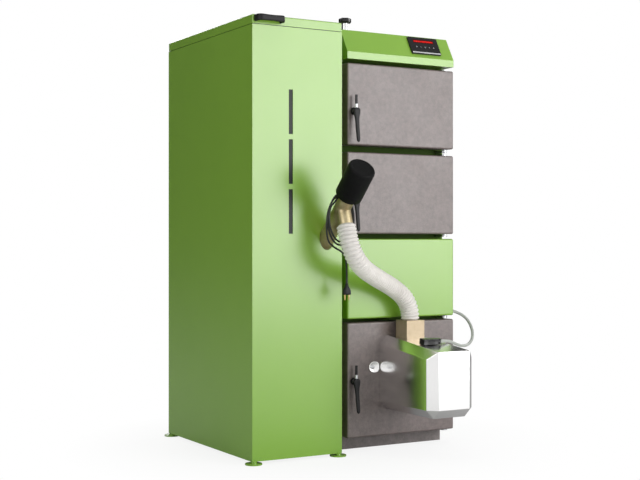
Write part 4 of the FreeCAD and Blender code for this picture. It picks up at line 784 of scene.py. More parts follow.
@dataclass(frozen=True)
class Softbox:
    """A square lamp that faces a point."""

    name: str
    at: Point
    towards: Point
    size: float
    power: float

    def build(self) -> None:
        """Hang the lamp."""
        lamp = bpy.data.lights.new(self.name, "AREA")
        lamp.shape = "SQUARE"
        lamp.size = self.size
        lamp.energy = self.power
        thing = bpy.data.objects.new(self.name, lamp)
        thing.location = self.at
        thing.rotation_euler = (Vector(self.towards) - Vector(self.at)).to_track_quat("-Z", "Y").to_euler()
        bpy.context.scene.collection.objects.link(thing)


@dataclass
class Studio:
    """Camera, lights, backdrop and floor.

    Mirrors see the white surround ahead of the object, and a dim room behind it and above it.
    """

    camera_at: Point = (-2.451, -4.0355, 0.7548)
    camera_turn: float = -30.0
    lens: float = 68.06
    sensor: float = 36.0
    softboxes: tuple[Softbox, ...] = (
        Softbox("key_softbox", (1.75, -3.9, 1.65), (-0.2, -0.3, 0.9), 2.8, 107.0),
        Softbox("side_softbox", (-3.4, -1.6, 1.6), (-0.6, 0.0, 0.8), 1.6, 19.0),
        Softbox("top_softbox", (-0.4, -0.6, 3.9), (-0.2, -0.1, 0.8), 2.4, 26.0),
        Softbox("rim_softbox", (3.2, 1.2, 2.0), (0.0, 0.0, 0.8), 1.4, 30.0),
        Softbox("back_softbox", (0.6, 4.2, 2.4), (-0.1, 0.3, 0.8), 2.2, 70.0))
    world_light: float = 0.27
    far_wall: float = 0.06
    far_from: tuple[float, float] = (-0.15, 0.4)
    ceiling: float = 0.5
    ceiling_from: tuple[float, float] = (0.35, 0.75)
    floor_half: float = 14.0
    floor_level: float = -0.0005
    floor_shades: tuple[Colour, Colour] = ((0.93, 0.93, 0.93), (0.97, 0.97, 0.97))
    floor_in_mirrors: tuple[Colour, Colour] = ((0.95, 0.95, 0.95), (0.3, 0.3, 0.3))
    floor_behind: tuple[float, float] = (-1.7, -0.6)
    floor_glow: tuple[float, float] = (0.7, 0.12)
    shadow_middle: Point = (-0.19, -0.12, 0.0)
    shadow_fades: tuple[float, float] = (0.45, 0.95)
    shadow_share: float = 0.86

    def build(self, palette: Palette) -> None:
        """Set up the view and the light.

        Args:
            palette: The finishes, which get the floor's paper.
        """
        self.place_camera()
        self.build_world()
        for softbox in self.softboxes:
            softbox.build()
        palette.materials["floor_paper"] = self.floor_paper()
        across, deep = np.meshgrid(*[np.linspace(-self.floor_half, self.floor_half, 3)] * 2, indexing="ij")
        points = np.stack([across, deep, np.full_like(across, self.floor_level)], axis=-1)
        Shell("floor").grid(points, "floor_paper", wrap_columns=False).make(palette)
        bpy.context.scene.view_settings.view_transform = "Standard"

    def place_camera(self) -> None:
        """Put the camera where the photograph was taken from, level."""
        camera = bpy.data.cameras.new("camera")
        camera.sensor_width = self.sensor
        camera.lens = self.lens
        camera.clip_end = 60.0
        thing = bpy.data.objects.new("camera", camera)
        thing.location = self.camera_at
        thing.rotation_euler = (math.radians(90), 0.0, math.radians(self.camera_turn))
        bpy.context.scene.collection.objects.link(thing)
        bpy.context.scene.camera = thing

    def build_world(self) -> None:
        """A white surround to the eye and ahead in mirrors, and softer as a light."""
        world = bpy.data.worlds.new("studio")
        bpy.context.scene.world = world
        world.use_nodes = True
        tree = NodeTree(world.node_tree)
        rays = tree.add("ShaderNodeLightPath").outputs
        way = tree.add("ShaderNodeSeparateXYZ", Vector=tree.add("ShaderNodeTexCoord").outputs["Generated"])
        ahead = tree.spread(way.outputs["Y"], *self.far_from, 1.0, self.far_wall)
        above = tree.spread(way.outputs["Z"], *self.ceiling_from, 1.0, self.ceiling)
        room = tree.maths("MULTIPLY", ahead, above)
        mirrored = tree.spread(rays["Is Glossy Ray"], 0.0, 1.0, self.world_light, room)
        seen = tree.maths("MAXIMUM", rays["Is Camera Ray"], rays["Is Transmission Ray"])
        strength = tree.spread(seen, 0.0, 1.0, mirrored, 1.0)
        shade = tree.add("ShaderNodeBackground", Color=(1.0, 1.0, 1.0), Strength=strength)
        tree.end("ShaderNodeOutputWorld", shade)

    def floor_paper(self) -> bpy.types.Material:
        """Pale paper that shows white to the eye and keeps the shadow under the feet.

        Returns:
            The floor's material.
        """
        material = bpy.data.materials.new("floor_paper")
        material.use_nodes = True
        tree = NodeTree(material.node_tree)
        rays = tree.add("ShaderNodeLightPath").outputs
        place = tree.add("ShaderNodeTexCoord").outputs["Object"]
        fibre = tree.add("ShaderNodeTexNoise", Vector=place, Scale=3.0, Detail=3.0)
        plain = tree.mixed(fibre.outputs[0], *self.floor_shades)
        depth = tree.add("ShaderNodeSeparateXYZ", Vector=place).outputs["Y"]
        behind = tree.spread(depth, *self.floor_behind, 0.0, 1.0)
        dim = tree.mixed(behind, *self.floor_in_mirrors)
        paper = tree.add("ShaderNodeBsdfDiffuse", Color=tree.mixed(rays["Is Glossy Ray"], plain, dim))
        white = tree.add("ShaderNodeEmission", Color=(1.0, 1.0, 1.0), Strength=1.0)
        mirrored = tree.maths("MULTIPLY", rays["Is Glossy Ray"],
                              tree.spread(behind, 0.0, 1.0, *self.floor_glow))
        seen = tree.maths("MAXIMUM", rays["Is Camera Ray"], rays["Is Transmission Ray"])
        seen = tree.maths("MAXIMUM", seen, mirrored)
        away = tree.add("ShaderNodeVectorMath", {"operation": "DISTANCE"})
        tree.fill(away.inputs[0], place)
        tree.fill(away.inputs[1], self.shadow_middle)
        clear = tree.spread(away.outputs["Value"], *self.shadow_fades, self.shadow_share, 1.0)
        both = tree.add("ShaderNodeMixShader", Fac=tree.maths("MULTIPLY", seen, clear))
        for place_in, shader in ((1, paper), (2, white)):
            tree.fill(both.inputs[place_in], shader.outputs[0])
        tree.end("ShaderNodeOutputMaterial", both)
        return material


@dataclass
class FeedHose:
    """The ribbed hose from the auger's spout to the burner's chute."""

    route: tuple[Point, ...] = (
        (-0.332, -0.53991, 0.80529), (-0.332, -0.56375, 0.73323), (-0.28984, -0.5607, 0.66753),
        (-0.1899, -0.49492, 0.62779), (-0.08001, -0.44296, 0.58805), (-0.02191, -0.437, 0.54804),
        (0.0, -0.437, 0.50009), (0.0, -0.437, 0.4683))
    crest: float = 0.033
    root: float = 0.0272
    bore: float = 0.0254
    ribs: int = 44
    fullness: float = 0.38
    columns: int = 56
    rows_per_rib: int = 8
    rows_per_bore_ring: int = 6
    steady: Point = (0.0, 1.0, 0.0)

    def build(self, palette: Palette) -> bpy.types.Object:
        """Make the hose: an outer skin of rounded ribs that turns in at each end to a plain bore.

        The outer radius is the root plus the rib height times a flattened cosine of the running
        length over the rib pitch.

        Args:
            palette: The finishes.

        Returns:
            The hose.
        """
        path = read_route(self.route, ROUTE_STEP)
        length = path_length(path)
        path = even_path(path, length / (self.ribs * self.rows_per_rib))
        phase = np.linspace(0.0, self.ribs, len(path))
        wave = (0.5 - 0.5 * np.cos(2 * np.pi * phase)) ** self.fullness
        ends = np.clip(np.minimum(phase, self.ribs - phase) / 0.5, 0.0, 1.0)
        radii = self.root + (self.crest - self.root) * wave * ends
        outer = tube_points(path, radii, self.columns, self.steady)
        inner_path = path[::self.rows_per_bore_ring]
        inner = tube_points(inner_path, np.full(len(inner_path), self.bore), self.columns, self.steady)
        shell = Shell("ribbed_hose").grid(np.concatenate([outer, inner[::-1]]), "hose_vinyl", wrap_rows=True)
        hose = shell.make(palette, ALL_SMOOTH)
        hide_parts("feed_hose")
        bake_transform(hose)
        return hose


@dataclass
class BurnerCable:
    """The grey cable from the gland on the fixed cover to the burner's plug."""

    route: tuple[Point, ...] = (
        (0.2453, -0.34, 0.49), (0.2593, -0.34, 0.49), (0.3084, -0.35508, 0.46636),
        (0.31628, -0.38524, 0.42583), (0.2943, -0.41842, 0.39063), (0.24626, -0.45663, 0.36997),
        (0.18842, -0.49282, 0.36997), (0.13321, -0.52701, 0.38345), (0.08421, -0.55868, 0.3972),
        (0.0343, -0.59135, 0.40245), (0.0063, -0.59135, 0.40245))
    radius: float = 0.0055

    def build(self, palette: Palette) -> bpy.types.Object:
        """Make the cable as a plain round tube along the route's curve.

        Args:
            palette: The finishes.

        Returns:
            The cable.
        """
        path = read_route(self.route, ROUTE_STEP)
        points = tube_points(path, np.full(len(path), self.radius), 20, (0.0, 0.0, 1.0))
        shell = Shell("burner_cable_sheath").grid(points, "grey_sheath", capped=True)
        cable = shell.make(palette, ALL_SMOOTH)
        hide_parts("burner_cable")
        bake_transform(cable)
        return cable


@dataclass
class MotorLead:
    """The motor's black lead: loops hung over the auger tube, then a tail to its plug."""

    start: tuple[Point, ...] = ((-0.371, -0.54814, 0.89564), (-0.371, -0.53683, 0.88433))
    tube_exit: Point = (-0.332, -0.4145, 0.762)
    loop_lows: tuple[float, ...] = (-0.014, -0.024, -0.058)
    loop_half: float = 0.05
    loop_narrowing: float = 2.4
    loop_step: float = 0.009
    loop_front: float = -0.1005
    loop_over: float = 0.0505
    left_out: int = 6
    tail: tuple[Point, ...] = ((-0.352, -0.499, 0.728), (-0.318, -0.498, 0.714), (-0.299, -0.494, 0.682),
                               (-0.298, -0.49, 0.60745))
    radius: float = 0.00325
    step: float = 0.003

    def loops(self) -> np.ndarray:
        """Corner points of the hanging loops, eight to a loop, each loop a step further back.

        The corners go down the left, across, up the right and back over the sloping tube, whose
        top falls as the loop's place goes back.

        Returns:
            The points, one loop after the other, without the last loop's unused corners.
        """
        low = np.array(self.loop_lows)
        back = self.loop_front + self.loop_step * np.arange(len(low))
        top, half, narrow = self.loop_over - back, self.loop_half, self.loop_half / self.loop_narrowing
        across = np.array([-half, -half, -narrow, narrow, half, half, narrow, -narrow])
        rise = np.stack([top - half, low + half, low, low, low + half, top - half, top, top], axis=-1)
        deep = back[:, None] + self.loop_step * np.arange(8) / 8
        corners = np.stack([np.broadcast_to(across, rise.shape), deep, rise], axis=-1)
        return np.array(self.tube_exit) + corners.reshape(-1, 3)[:-self.left_out]

    def build(self, palette: Palette, plug: bpy.types.Object) -> bpy.types.Object:
        """Make the lead as a smooth curve.

        Args:
            palette: The finishes.
            plug: The plug on its far end; not used.

        Returns:
            The lead.
        """
        route = np.vstack([self.start, self.loops(), self.tail])
        length = path_length(read_route(route, self.step))
        lead = route_curve("motor_lead_sheath", route, self.radius, 12)
        lead.data.materials.append(palette.materials["black_sheath"])
        seat(lead, "boiler", "motor_lead")
        return lead


@dataclass
class LeverHandle(Fitting):
    """A lever handle on one door: rosette, bright neck, tapered grip and latch strip."""

    door: str
    hub_z: float
    hub_x: float = -0.206
    door_front: float = -0.3845
    stand: float = 0.016
    above: float = 0.013
    drop: float = 0.112
    splay: float = 0.013
    grip_out: float = 0.0062
    width: float = 0.0125
    width_swell: float = 0.0115
    width_reach: float = 0.17
    taper: float = 0.0035
    depth: float = 0.0092
    depth_swell: float = 0.0028
    depth_reach: float = 0.2
    swell_at: float = 0.10
    rows: int = 40
    end_rows: int = 4

    def __post_init__(self) -> None:
        """Let the handle ride on its own lever and stand for it."""
        self.body = self.node = f"{self.door}_handle"

    def grip(self) -> tuple[np.ndarray, np.ndarray, np.ndarray]:
        """The grip's path, widths and depths.

        The path leaves the door as a power of its drop, and the sections swell near the hub by
        a bell curve.

        Returns:
            The path in the handle's own directions, the widths and the depths.
        """
        steps = np.linspace(0.0, 1.0, self.rows)
        height = self.above - (self.above + self.drop) * steps
        stand = self.stand + self.grip_out + self.splay * np.clip(-height / self.drop, 0.0, 1.0) ** 1.4
        ends = eased_ends(self.rows, self.end_rows)
        wide = np.exp(-((steps - self.swell_at) / self.width_reach) ** 2)
        deep = np.exp(-((steps - self.swell_at) / self.depth_reach) ** 2)
        widths = (self.width + self.width_swell * wide + self.taper * (1 - steps)) * ends
        depths = (self.depth + self.depth_swell * deep) * ends
        return np.stack([np.zeros_like(steps), height, stand], axis=-1), widths, depths

    def shell(self) -> Shell:
        """The rosette, neck, grip, strip, collar, disc and shaft.

        Returns:
            The gathered grids.
        """
        shell = Shell(f"{self.door}_lever_grip")
        axis = Frame((self.hub_x, self.door_front, self.hub_z), (1, 0, 0), (0, 0, 1), (0, -1, 0))
        rosette = ((0.0004, 0.0), (0.0004, 0.0120), (0.0012, 0.0130), (0.0042, 0.0130), (0.006, 0.0120),
                   (0.0066, 0.0098), (0.0066, 0.0))
        shell.grid(axis.place(turned(rosette)), "black_moulding")
        neck = ((0.006, 0.0088), (0.012, 0.0088), (0.0128, 0.0096), (self.stand + 0.002, 0.0096))
        shell.grid(axis.place(turned(neck)), "zinc_plate")
        path, widths, depths = self.grip()
        grip = oval_sections(axis.place(path), widths, depths, (0, -1, 0), 3.2)
        shell.grid(grip, "black_moulding", capped=True)
        strip = block((-0.0042, 0.012, self.stand + 0.0008), (0.0042, 0.057, self.stand + 0.0058))
        shell.grid(axis.place(strip), "black_moulding", capped=True)
        collar = ((0.011, 0.0), (0.011, 0.0056), (0.024, 0.0056), (0.024, 0.0))
        upright = Frame(tuple(axis.place(np.array([0.0, 0.0, self.stand + 0.0033]))), along=(0, -1, 0))
        shell.grid(upright.place(turned(collar, 32)), "zinc_plate")
        disc = ((-0.0563, 0.0), (-0.0563, 0.0168), (-0.0615, 0.0168), (-0.0615, 0.0))
        shell.grid(axis.place(turned(disc, 40)), "zinc_plate")
        shell.grid(axis.place(turned(((-0.0563, 0.0058), (0.006, 0.0058)), 32)), "zinc_plate")
        return shell


@dataclass
class LidGrip(Fitting):
    """The bow grip on the front of the hopper lid."""

    node: str = "lid_handle"
    body: str = "lid"
    left: float = -0.6165
    right: float = -0.5065
    back: float = -0.4146
    front: float = -0.4425
    middle_z: float = 1.5
    corner: float = 0.013
    inset: float = 0.007
    thickness: float = 0.0105
    height: float = 0.0225
    slimming: float = 0.12
    foot_spread: float = 0.25
    foot_reach: float = 0.03

    def plan(self) -> np.ndarray:
        """The bar's middle line from above: forward, across with two round corners, and back.

        Returns:
            The points in plan.
        """
        turn = np.linspace(0.0, np.pi / 2, 10)
        reach, left, right = self.corner, self.left + self.inset, self.right - self.inset
        halfway, bend = (self.back + self.front + reach) / 2, self.front + reach
        out = np.array([[left, self.back], [left, halfway]])
        first = np.stack([left + reach - reach * np.cos(turn), bend - reach * np.sin(turn)], axis=-1)
        second = np.stack([right - reach + reach * np.sin(turn), bend - reach * np.cos(turn)], axis=-1)
        return np.vstack([out, first, second, [[right, halfway], [right, self.back]]])

    def shell(self) -> Shell:
        """A rounded bar, slimmer in its middle and spread at its feet.

        Returns:
            The gathered grids.
        """
        plan = self.plan()
        path = even_path(np.column_stack([plan, np.full(len(plan), self.middle_z)]), 0.003)
        place = np.linspace(0.0, 1.0, len(path))
        swell = 1.0 - self.slimming * np.sin(np.pi * place) ** 4
        feet = 1.0 + self.foot_spread * np.exp(-np.minimum(place, 1 - place) / self.foot_reach)
        points = oval_sections(path, self.thickness * feet, self.height * swell, (0, 0, 1), 3.6)
        return Shell("lid_bow_grip").grid(points, "black_moulding", capped=True)


@dataclass
class AugerMotor(Fitting):
    """The geared motor under its round black cap."""

    node: str = "auger_motor"
    frame: Frame = Frame((-0.332, -0.5524, 0.8999), (1.0, 0.0, 0.0), (0.0, 0.70711, 0.70711),
                         (0.0, -0.70711, 0.70711))
    boss_at: Point = (-0.039, 0.0, 0.0)

    def shell(self) -> Shell:
        """The cap, its band, its end dish and the cable boss.

        Returns:
            The gathered grids.
        """
        cap = ((0.0, 0.0), (0.0, 0.0385), (0.0015, 0.039), (0.0075, 0.039), (0.0082, 0.0462), (0.0095, 0.047),
               (0.0325, 0.047), (0.0332, 0.0462), (0.0352, 0.0462), (0.0359, 0.047), (0.124, 0.047),
               (0.1285, 0.0462), (0.1315, 0.0440), (0.1328, 0.0412), (0.1328, 0.0385), (0.1317, 0.0372),
               (0.1317, 0.0))
        boss = ((-0.006, 0.0), (-0.006, 0.0044), (-0.0045, 0.0054), (0.008, 0.0055), (0.008, 0.0))
        shell = Shell("auger_motor_cap").grid(self.frame.place(turned(cap, 96)), "motor_plastic")
        return shell.grid(self.frame.place(turned(boss, 24) + np.array(self.boss_at)), "motor_plastic")


@dataclass
class DamperKnob(Fitting):
    """The lobed knob on the bypass damper."""

    node: str = "damper_knob"
    slot: str = "black_gloss"
    body: str = "damper"
    frame: Frame = Frame((0.0, 0.015, 1.601), (0.86603, 0.5, 0.0), (-0.5, 0.86603, 0.0))
    lobes: int = 6
    flute: float = 0.16

    def shell(self) -> Shell:
        """Lobed rings up a rounded profile.

        Returns:
            The gathered grids.
        """
        rim = ((0.0, 0.007), (0.0, 0.0195), (0.002, 0.0225), (0.006, 0.025), (0.0145, 0.0252),
               (0.0185, 0.0238), (0.0203, 0.020), (0.0208, 0.0135), (0.0202, 0.0105), (0.0202, 0.0))
        rings = self.frame.place(turned(rim, 96, self.lobes, self.flute))
        return Shell("damper_lobed_knob").grid(rings, "black_gloss")


@dataclass
class ControlPanel:
    """Trim of the controller: bezel strip, lit display row and the keys' marks."""

    frame: Frame = Frame((0.049, -0.3845, 1.422), (1.0, 0.0, 0.0), (0.0, 0.49614, 0.86824),
                         (0.0, -0.86824, 0.49614))
    width: float = 0.128
    low: float = 0.015
    plate: float = 0.007
    bezel_inset: float = 0.0022
    key_top: float = 0.0082
    key_middle: float = 0.044
    key_step: float = 0.019
    row_low: float = 0.067
    row_half: float = 0.0422
    characters: int = 16
    character_step: float = 0.0053
    character: tuple[float, float] = (0.0044, 0.0066)
    mark: float = 0.0003
    mark_edge: float = 0.0001
    stroke: float = 0.0004
    reach: float = 0.0024
    bar_step: float = 0.0018
    ring_radius: float = 0.002

    def build(self, palette: Palette) -> list[bpy.types.Object]:
        """Make the bezel strip, the display's row and every key's mark.

        Args:
            palette: The finishes.

        Returns:
            The pieces.
        """
        strip = block((self.bezel_inset, self.low + 0.0018, self.plate),
                      (self.width - self.bezel_inset, self.low + 0.0068, self.plate + 0.0006), 0.0003)
        bezel = Shell("controller_bezel").grid(self.frame.place(strip), "pale_keys", capped=True)
        pieces = [seat(bezel.make(palette), "boiler"),
                  seat(self.lit_row().make(palette), "boiler")]
        marks = {"menu": self.bars(3), "minus": self.bars(1), "power": self.ring(), "plus": self.cross(),
                 "enter": self.arrow()}
        for i, (name, grids) in enumerate(marks.items()):
            middle = np.array([self.width / 2 + (i - 2) * self.key_step, self.key_middle, self.key_top])
            shell = Shell(f"{name}_key_mark")
            for grid in grids:
                shell.grid(self.frame.place(grid + middle), "pale_keys", capped=True)
            pieces.append(seat(shell.make(palette), f"{name}_button"))
        return pieces

    def lit_row(self) -> Shell:
        """The display's row of lit characters: short blocks side by side on its window.

        Returns:
            The row's grids.
        """
        shell = Shell("display_lit_row")
        wide, tall = self.character
        first = self.width / 2 - self.row_half
        for left in first + self.character_step * np.arange(self.characters):
            lit = block((left, self.row_low, self.plate),
                        (left + wide, self.row_low + tall, self.plate + self.mark), self.mark_edge)
            shell.grid(self.frame.place(lit), "display_light", capped=True)
        return shell

    def bar(self, low: tuple[float, float], high: tuple[float, float]) -> np.ndarray:
        """One flat bar of a key's mark between two corners."""
        return block((*low, 0.0), (*high, self.mark), self.mark_edge)

    def bars(self, count: int) -> list[np.ndarray]:
        """Level bars, one above the other."""
        rows = (np.arange(count) - (count - 1) / 2) * self.bar_step
        return [self.bar((-self.reach, row - self.stroke), (self.reach, row + self.stroke)) for row in rows]

    def cross(self) -> list[np.ndarray]:
        """A level bar and two short upright ones that meet it."""
        return self.bars(1) + [self.bar((-self.stroke, -self.reach), (self.stroke, -0.0005)),
                               self.bar((-self.stroke, 0.0005), (self.stroke, self.reach))]

    def ring(self) -> list[np.ndarray]:
        """An open ring with a bar at its top: a flat band over most of a turn.

        Returns:
            The band's and the bar's grids.
        """
        turn = np.linspace(math.radians(125), math.radians(415), 40)
        path = np.column_stack([self.ring_radius * np.cos(turn), self.ring_radius * np.sin(turn),
                                np.full(40, self.mark / 2)])
        band = oval_sections(path, np.full(40, 2 * self.stroke), np.full(40, self.mark), (0, 0, 1), 6.0, 12)
        return [band, self.bar((-self.stroke, 0.0006), (self.stroke, 0.0027))]

    def arrow(self) -> list[np.ndarray]:
        """A right-pointing wedge: rings of three corners, drawn in at the top.

        Returns:
            The wedge's grid.
        """
        corners = np.array([(-0.0018, -0.0022), (self.reach, 0.0), (-0.0018, 0.0022)])
        rings = np.stack([corners, corners, corners * 0.94])
        height = np.array([0.0, 0.00022, self.mark])
        return [np.concatenate([rings, np.broadcast_to(height[:, None, None], (3, 3, 1))], axis=-1)]


@dataclass
class BurnerHood:
    """The burner's faceted cover in polished sheet, with its folds just rounded."""

    middle_x: float = -0.004
    front: float = -0.709
    back: float = -0.3848
    base: float = 0.148
    front_top: float = 0.377
    slope: float = 0.11536
    chamfer: float = 0.030
    half: float = 0.095
    chute_x: tuple[float, float] = (-0.0378, 0.0378)
    chute_y: tuple[float, float] = (-0.4723, -0.4017)
    wall: float = 0.0025
    fold: float = 0.0011
    fold_angle: float = 12.0

    def top_at(self, y: float | np.ndarray) -> float | np.ndarray:
        """The height of the sloping top at one depth or several."""
        return self.front_top + self.slope * (y - self.front)

    def ring(self, y: float) -> np.ndarray:
        """An eight-cornered section at one depth, its top on the sloping top plane.

        Args:
            y: The depth.

        Returns:
            The corners.
        """
        top, slim = self.top_at(y), self.half - self.chamfer
        right = np.array([(slim, top), (self.half, top - self.chamfer),
                          (self.half, self.base + self.chamfer), (slim, self.base)])
        both = np.vstack([right, right[::-1] * np.array([-1.0, 1.0])])
        return np.column_stack([both[:, 0] + self.middle_x, np.full(8, y), both[:, 1]])

    def build(self, palette: Palette) -> bpy.types.Object:
        """Make the cover from its front face, middle ring and back ring, with a way through its top.

        Args:
            palette: The finishes.

        Returns:
            The cover.
        """
        slim, low = self.half - self.chamfer, self.base + self.chamfer
        corners = np.array([(slim, self.front_top), (slim, low), (-slim, low), (-slim, self.front_top)])
        front = np.column_stack([corners[:, 0] + self.middle_x, np.full(4, self.front), corners[:, 1]])
        across, deep = np.array(self.chute_x)[[1, 1, 0, 0]], np.array(self.chute_y)[[0, 1, 1, 0]]
        way = np.column_stack([across, deep, self.top_at(deep)])
        rings = [front, self.ring(self.front + self.chamfer), self.ring(self.back), way]
        faces = [(0, 1, 2, 3), (3, 0, 4, 11), (0, 1, 6, 5), (1, 2, 8, 7), (2, 3, 10, 9), (0, 5, 4), (1, 7, 6),
                 (2, 9, 8), (3, 11, 10)]
        faces += [(4 + i, 5 + i, 13 + i, 12 + i) for i in range(7)]
        faces += [(4, 12, 21, 20), (12, 19, 22, 21), (19, 11, 23, 22), (11, 4, 20, 23)]
        hood = Shell("burner_hood", [np.vstack(rings)], faces, ["polished_stainless"],
                     [0] * len(faces)).make(palette, self.fold_angle)
        wall = hood.modifiers.new("wall", "SOLIDIFY")
        wall.thickness = self.wall
        wall.offset = -1.0
        folds = hood.modifiers.new("folds", "BEVEL")
        folds.width = self.fold
        folds.segments = 3
        folds.limit_method = "ANGLE"
        folds.angle_limit = math.radians(self.fold_angle)
        return seat(hood, "lower_door", "burner_cover")


@dataclass
class TwoPinPlug(Fitting):
    """The motor lead's plug: a tapered grip and two brass pins."""

    node: str = "motor_plug"
    top: Point = (-0.298, -0.49, 0.607)
    pin_offset: float = 0.008

    def shell(self) -> Shell:
        """Rounded sections down the plug's height, and round-ended pins.

        Returns:
            The gathered grids.
        """
        height = np.array([0.0, -0.003, -0.009, -0.014, -0.019, -0.026, -0.034, -0.0375, -0.0393, -0.04])
        widths = np.array([0.0078, 0.0092, 0.011, 0.0155, 0.0225, 0.0272, 0.0288, 0.0284, 0.0268, 0.0245])
        depths = np.array([0.0078, 0.0092, 0.0105, 0.013, 0.0162, 0.0185, 0.0188, 0.0184, 0.017, 0.015])
        path = np.array(self.top) + np.column_stack([np.zeros((10, 2)), height])
        shell = Shell("motor_two_pin_plug")
        shell.grid(oval_sections(path, widths, depths, (0, 1, 0), 3.4, 40), "black_moulding", capped=True)
        pin = ((-0.039, 0.0), (-0.039, 0.0024), (-0.0565, 0.0024), (-0.0583, 0.0017), (-0.0588, 0.0))
        for side in (-self.pin_offset, self.pin_offset):
            at = Frame((self.top[0] + side, self.top[1], self.top[2]))
            shell.grid(at.place(turned(pin, 20)), "brass_pin")
        return shell


@dataclass
class BurnerConnector(Fitting):
    """The plug connector on the burner's sloping top, with grip ribs and two latch prongs."""

    node: str = "burner_connector"
    slot: str = "black_gloss"
    body: str = "lower_door"
    frame: Frame = Frame((-0.057, -0.590, 0.39073), (1.0, 0.0, 0.0), (0.0, 0.99341, 0.11463),
                         (0.0, -0.11463, 0.99341))
    length: float = 0.063
    height: float = 0.023
    depth: float = 0.030
    rows: int = 64
    shoulder: float = 0.24
    slimmer: tuple[float, float] = (0.92, 0.95)
    ribs: int = 9
    ribbed: tuple[float, float] = (0.3, 0.75)
    rib_height: float = 0.0007
    end_share: float = 0.03
    end_slimming: float = 0.10

    def casing(self) -> np.ndarray:
        """The casing: squarish sections along it, stepped at the shoulder and ribbed in the middle.

        Returns:
            The grid of points in the connector's own directions.
        """
        steps = np.linspace(0.0, 1.0, self.rows)
        wave = np.clip(np.sin(steps * 2 * np.pi * self.ribs), -0.4, 1.0)
        ribs = self.rib_height * wave * ((steps > self.ribbed[0]) & (steps < self.ribbed[1]))
        inwards = np.clip(np.minimum(steps, 1 - steps) / self.end_share, 0.0, 1.0)
        ends = 1.0 - self.end_slimming * (1.0 - inwards) ** 2
        path = np.column_stack([steps * self.length, np.zeros(self.rows),
                                np.full(self.rows, 0.0004 + self.height / 2)])
        widths = (self.depth * np.where(steps < self.shoulder, 1.0, self.slimmer[0]) + 2 * ribs) * ends
        depths = (self.height * np.where(steps < self.shoulder, 1.0, self.slimmer[1]) + ribs) * ends
        return oval_sections(path, widths, depths, (0, 0, 1), 7.0, 44)

    def shell(self) -> Shell:
        """The casing, its prongs and the cable's sleeve.

        Returns:
            The gathered grids.
        """
        grids = [self.casing()]
        for low in (0.0018, 0.0188):
            grids.append(block((self.length - 0.004, -0.009, low),
                               (self.length + 0.0155, 0.009, low + 0.0029), 0.0008))
        sleeve = np.column_stack([np.linspace(self.length - 0.002, self.length + 0.015, 10), np.zeros(10),
                                  np.full(10, self.height / 2)])
        girth = np.linspace(0.0140, 0.0126, 10)
        grids.append(oval_sections(sleeve, girth, girth, (0, 0, 1), 2.0, 28))
        shell = Shell("burner_plug_connector")
        for grid in grids:
            shell.grid(self.frame.place(grid), "black_gloss", capped=True)
        return shell


@dataclass
class CableGland(Fitting):
    """The gland on the fixed cover: a hexagon nut and a rounded dome."""

    node: str = "cable_gland"
    frame: Frame = Frame((0.231, -0.340, 0.490), (0, 1, 0), (0, 0, 1), (1, 0, 0))

    def shell(self) -> Shell:
        """The nut and the dome in line.

        Returns:
            The gathered grids.
        """
        nut = ((0.0002, 0.0), (0.0002, 0.0088), (0.0008, 0.0094), (0.0055, 0.0094), (0.0062, 0.0088),
               (0.0062, 0.0))
        dome = ((0.006, 0.0), (0.006, 0.0086), (0.0098, 0.0084), (0.0125, 0.0072), (0.0139, 0.0058),
                (0.0139, 0.0))
        shell = Shell("cover_cable_gland").grid(self.frame.place(hexagon(nut)), "black_moulding")
        return shell.grid(self.frame.place(turned(dome, 40)), "black_moulding")


@dataclass
class Peephole(Fitting):
    """The oval cover of the sight hole, on its round-headed screw."""

    node: str = "peephole_cover"
    slot: str = "zinc_steel"
    body: str = "peephole"
    middle: tuple[float, float] = (-0.122, 0.301)
    pivot_x: float = -0.128
    half_length: float = 0.022
    half_height: float = 0.020
    fullness: float = 2.7
    back: float = -0.385
    front: float = -0.389

    def plate(self) -> np.ndarray:
        """The plate: ovals drawn in over a rounded rim to a shallow dish.

        The oval is an ellipse on the screw's side and a fuller superellipse on the other: the
        cosine and sine of the turn, each raised to two over the fullness with its sign kept.

        Returns:
            The grid of points.
        """
        turn = full_turn(64)
        inset = np.array([0.020, 0.0015, 0.0, 0.0, 0.0008, 0.0035, 0.0045, 0.020])[:, None]
        depths = np.array([self.back, self.back, self.back - 0.0008, self.front + 0.0012, self.front,
                           self.front, self.front + 0.0006, self.front + 0.0006])[:, None]
        bend = 2.0 / np.where(np.cos(turn) > 0.0, self.fullness, 2.0)
        across = self.middle[0] + (self.half_length - inset) * signed_power(np.cos(turn), bend)
        up = self.middle[1] + (self.half_height - inset) * signed_power(np.sin(turn), bend)
        return np.stack([across, np.broadcast_to(depths, across.shape), up], axis=-1)

    def shell(self) -> Shell:
        """The plate and its screw.

        Returns:
            The gathered grids.
        """
        shell = Shell("peephole_oval").grid(self.plate(), "polished_stainless")
        screw = Frame((self.pivot_x, self.front, self.middle[1]), (1, 0, 0), (0, 0, 1), (0, -1, 0))
        head = ((-0.0007, 0.0), (-0.0007, 0.0066), (0.0012, 0.0066), (0.0028, 0.0052), (0.0036, 0.003),
                (0.0038, 0.0))
        shaft = ((-0.026, 0.0), (-0.026, 0.0039), (0.0, 0.0039))
        shell.grid(screw.place(turned(head, 32)), "zinc_plate")
        return shell.grid(screw.place(turned(shaft, 24)), "zinc_plate")


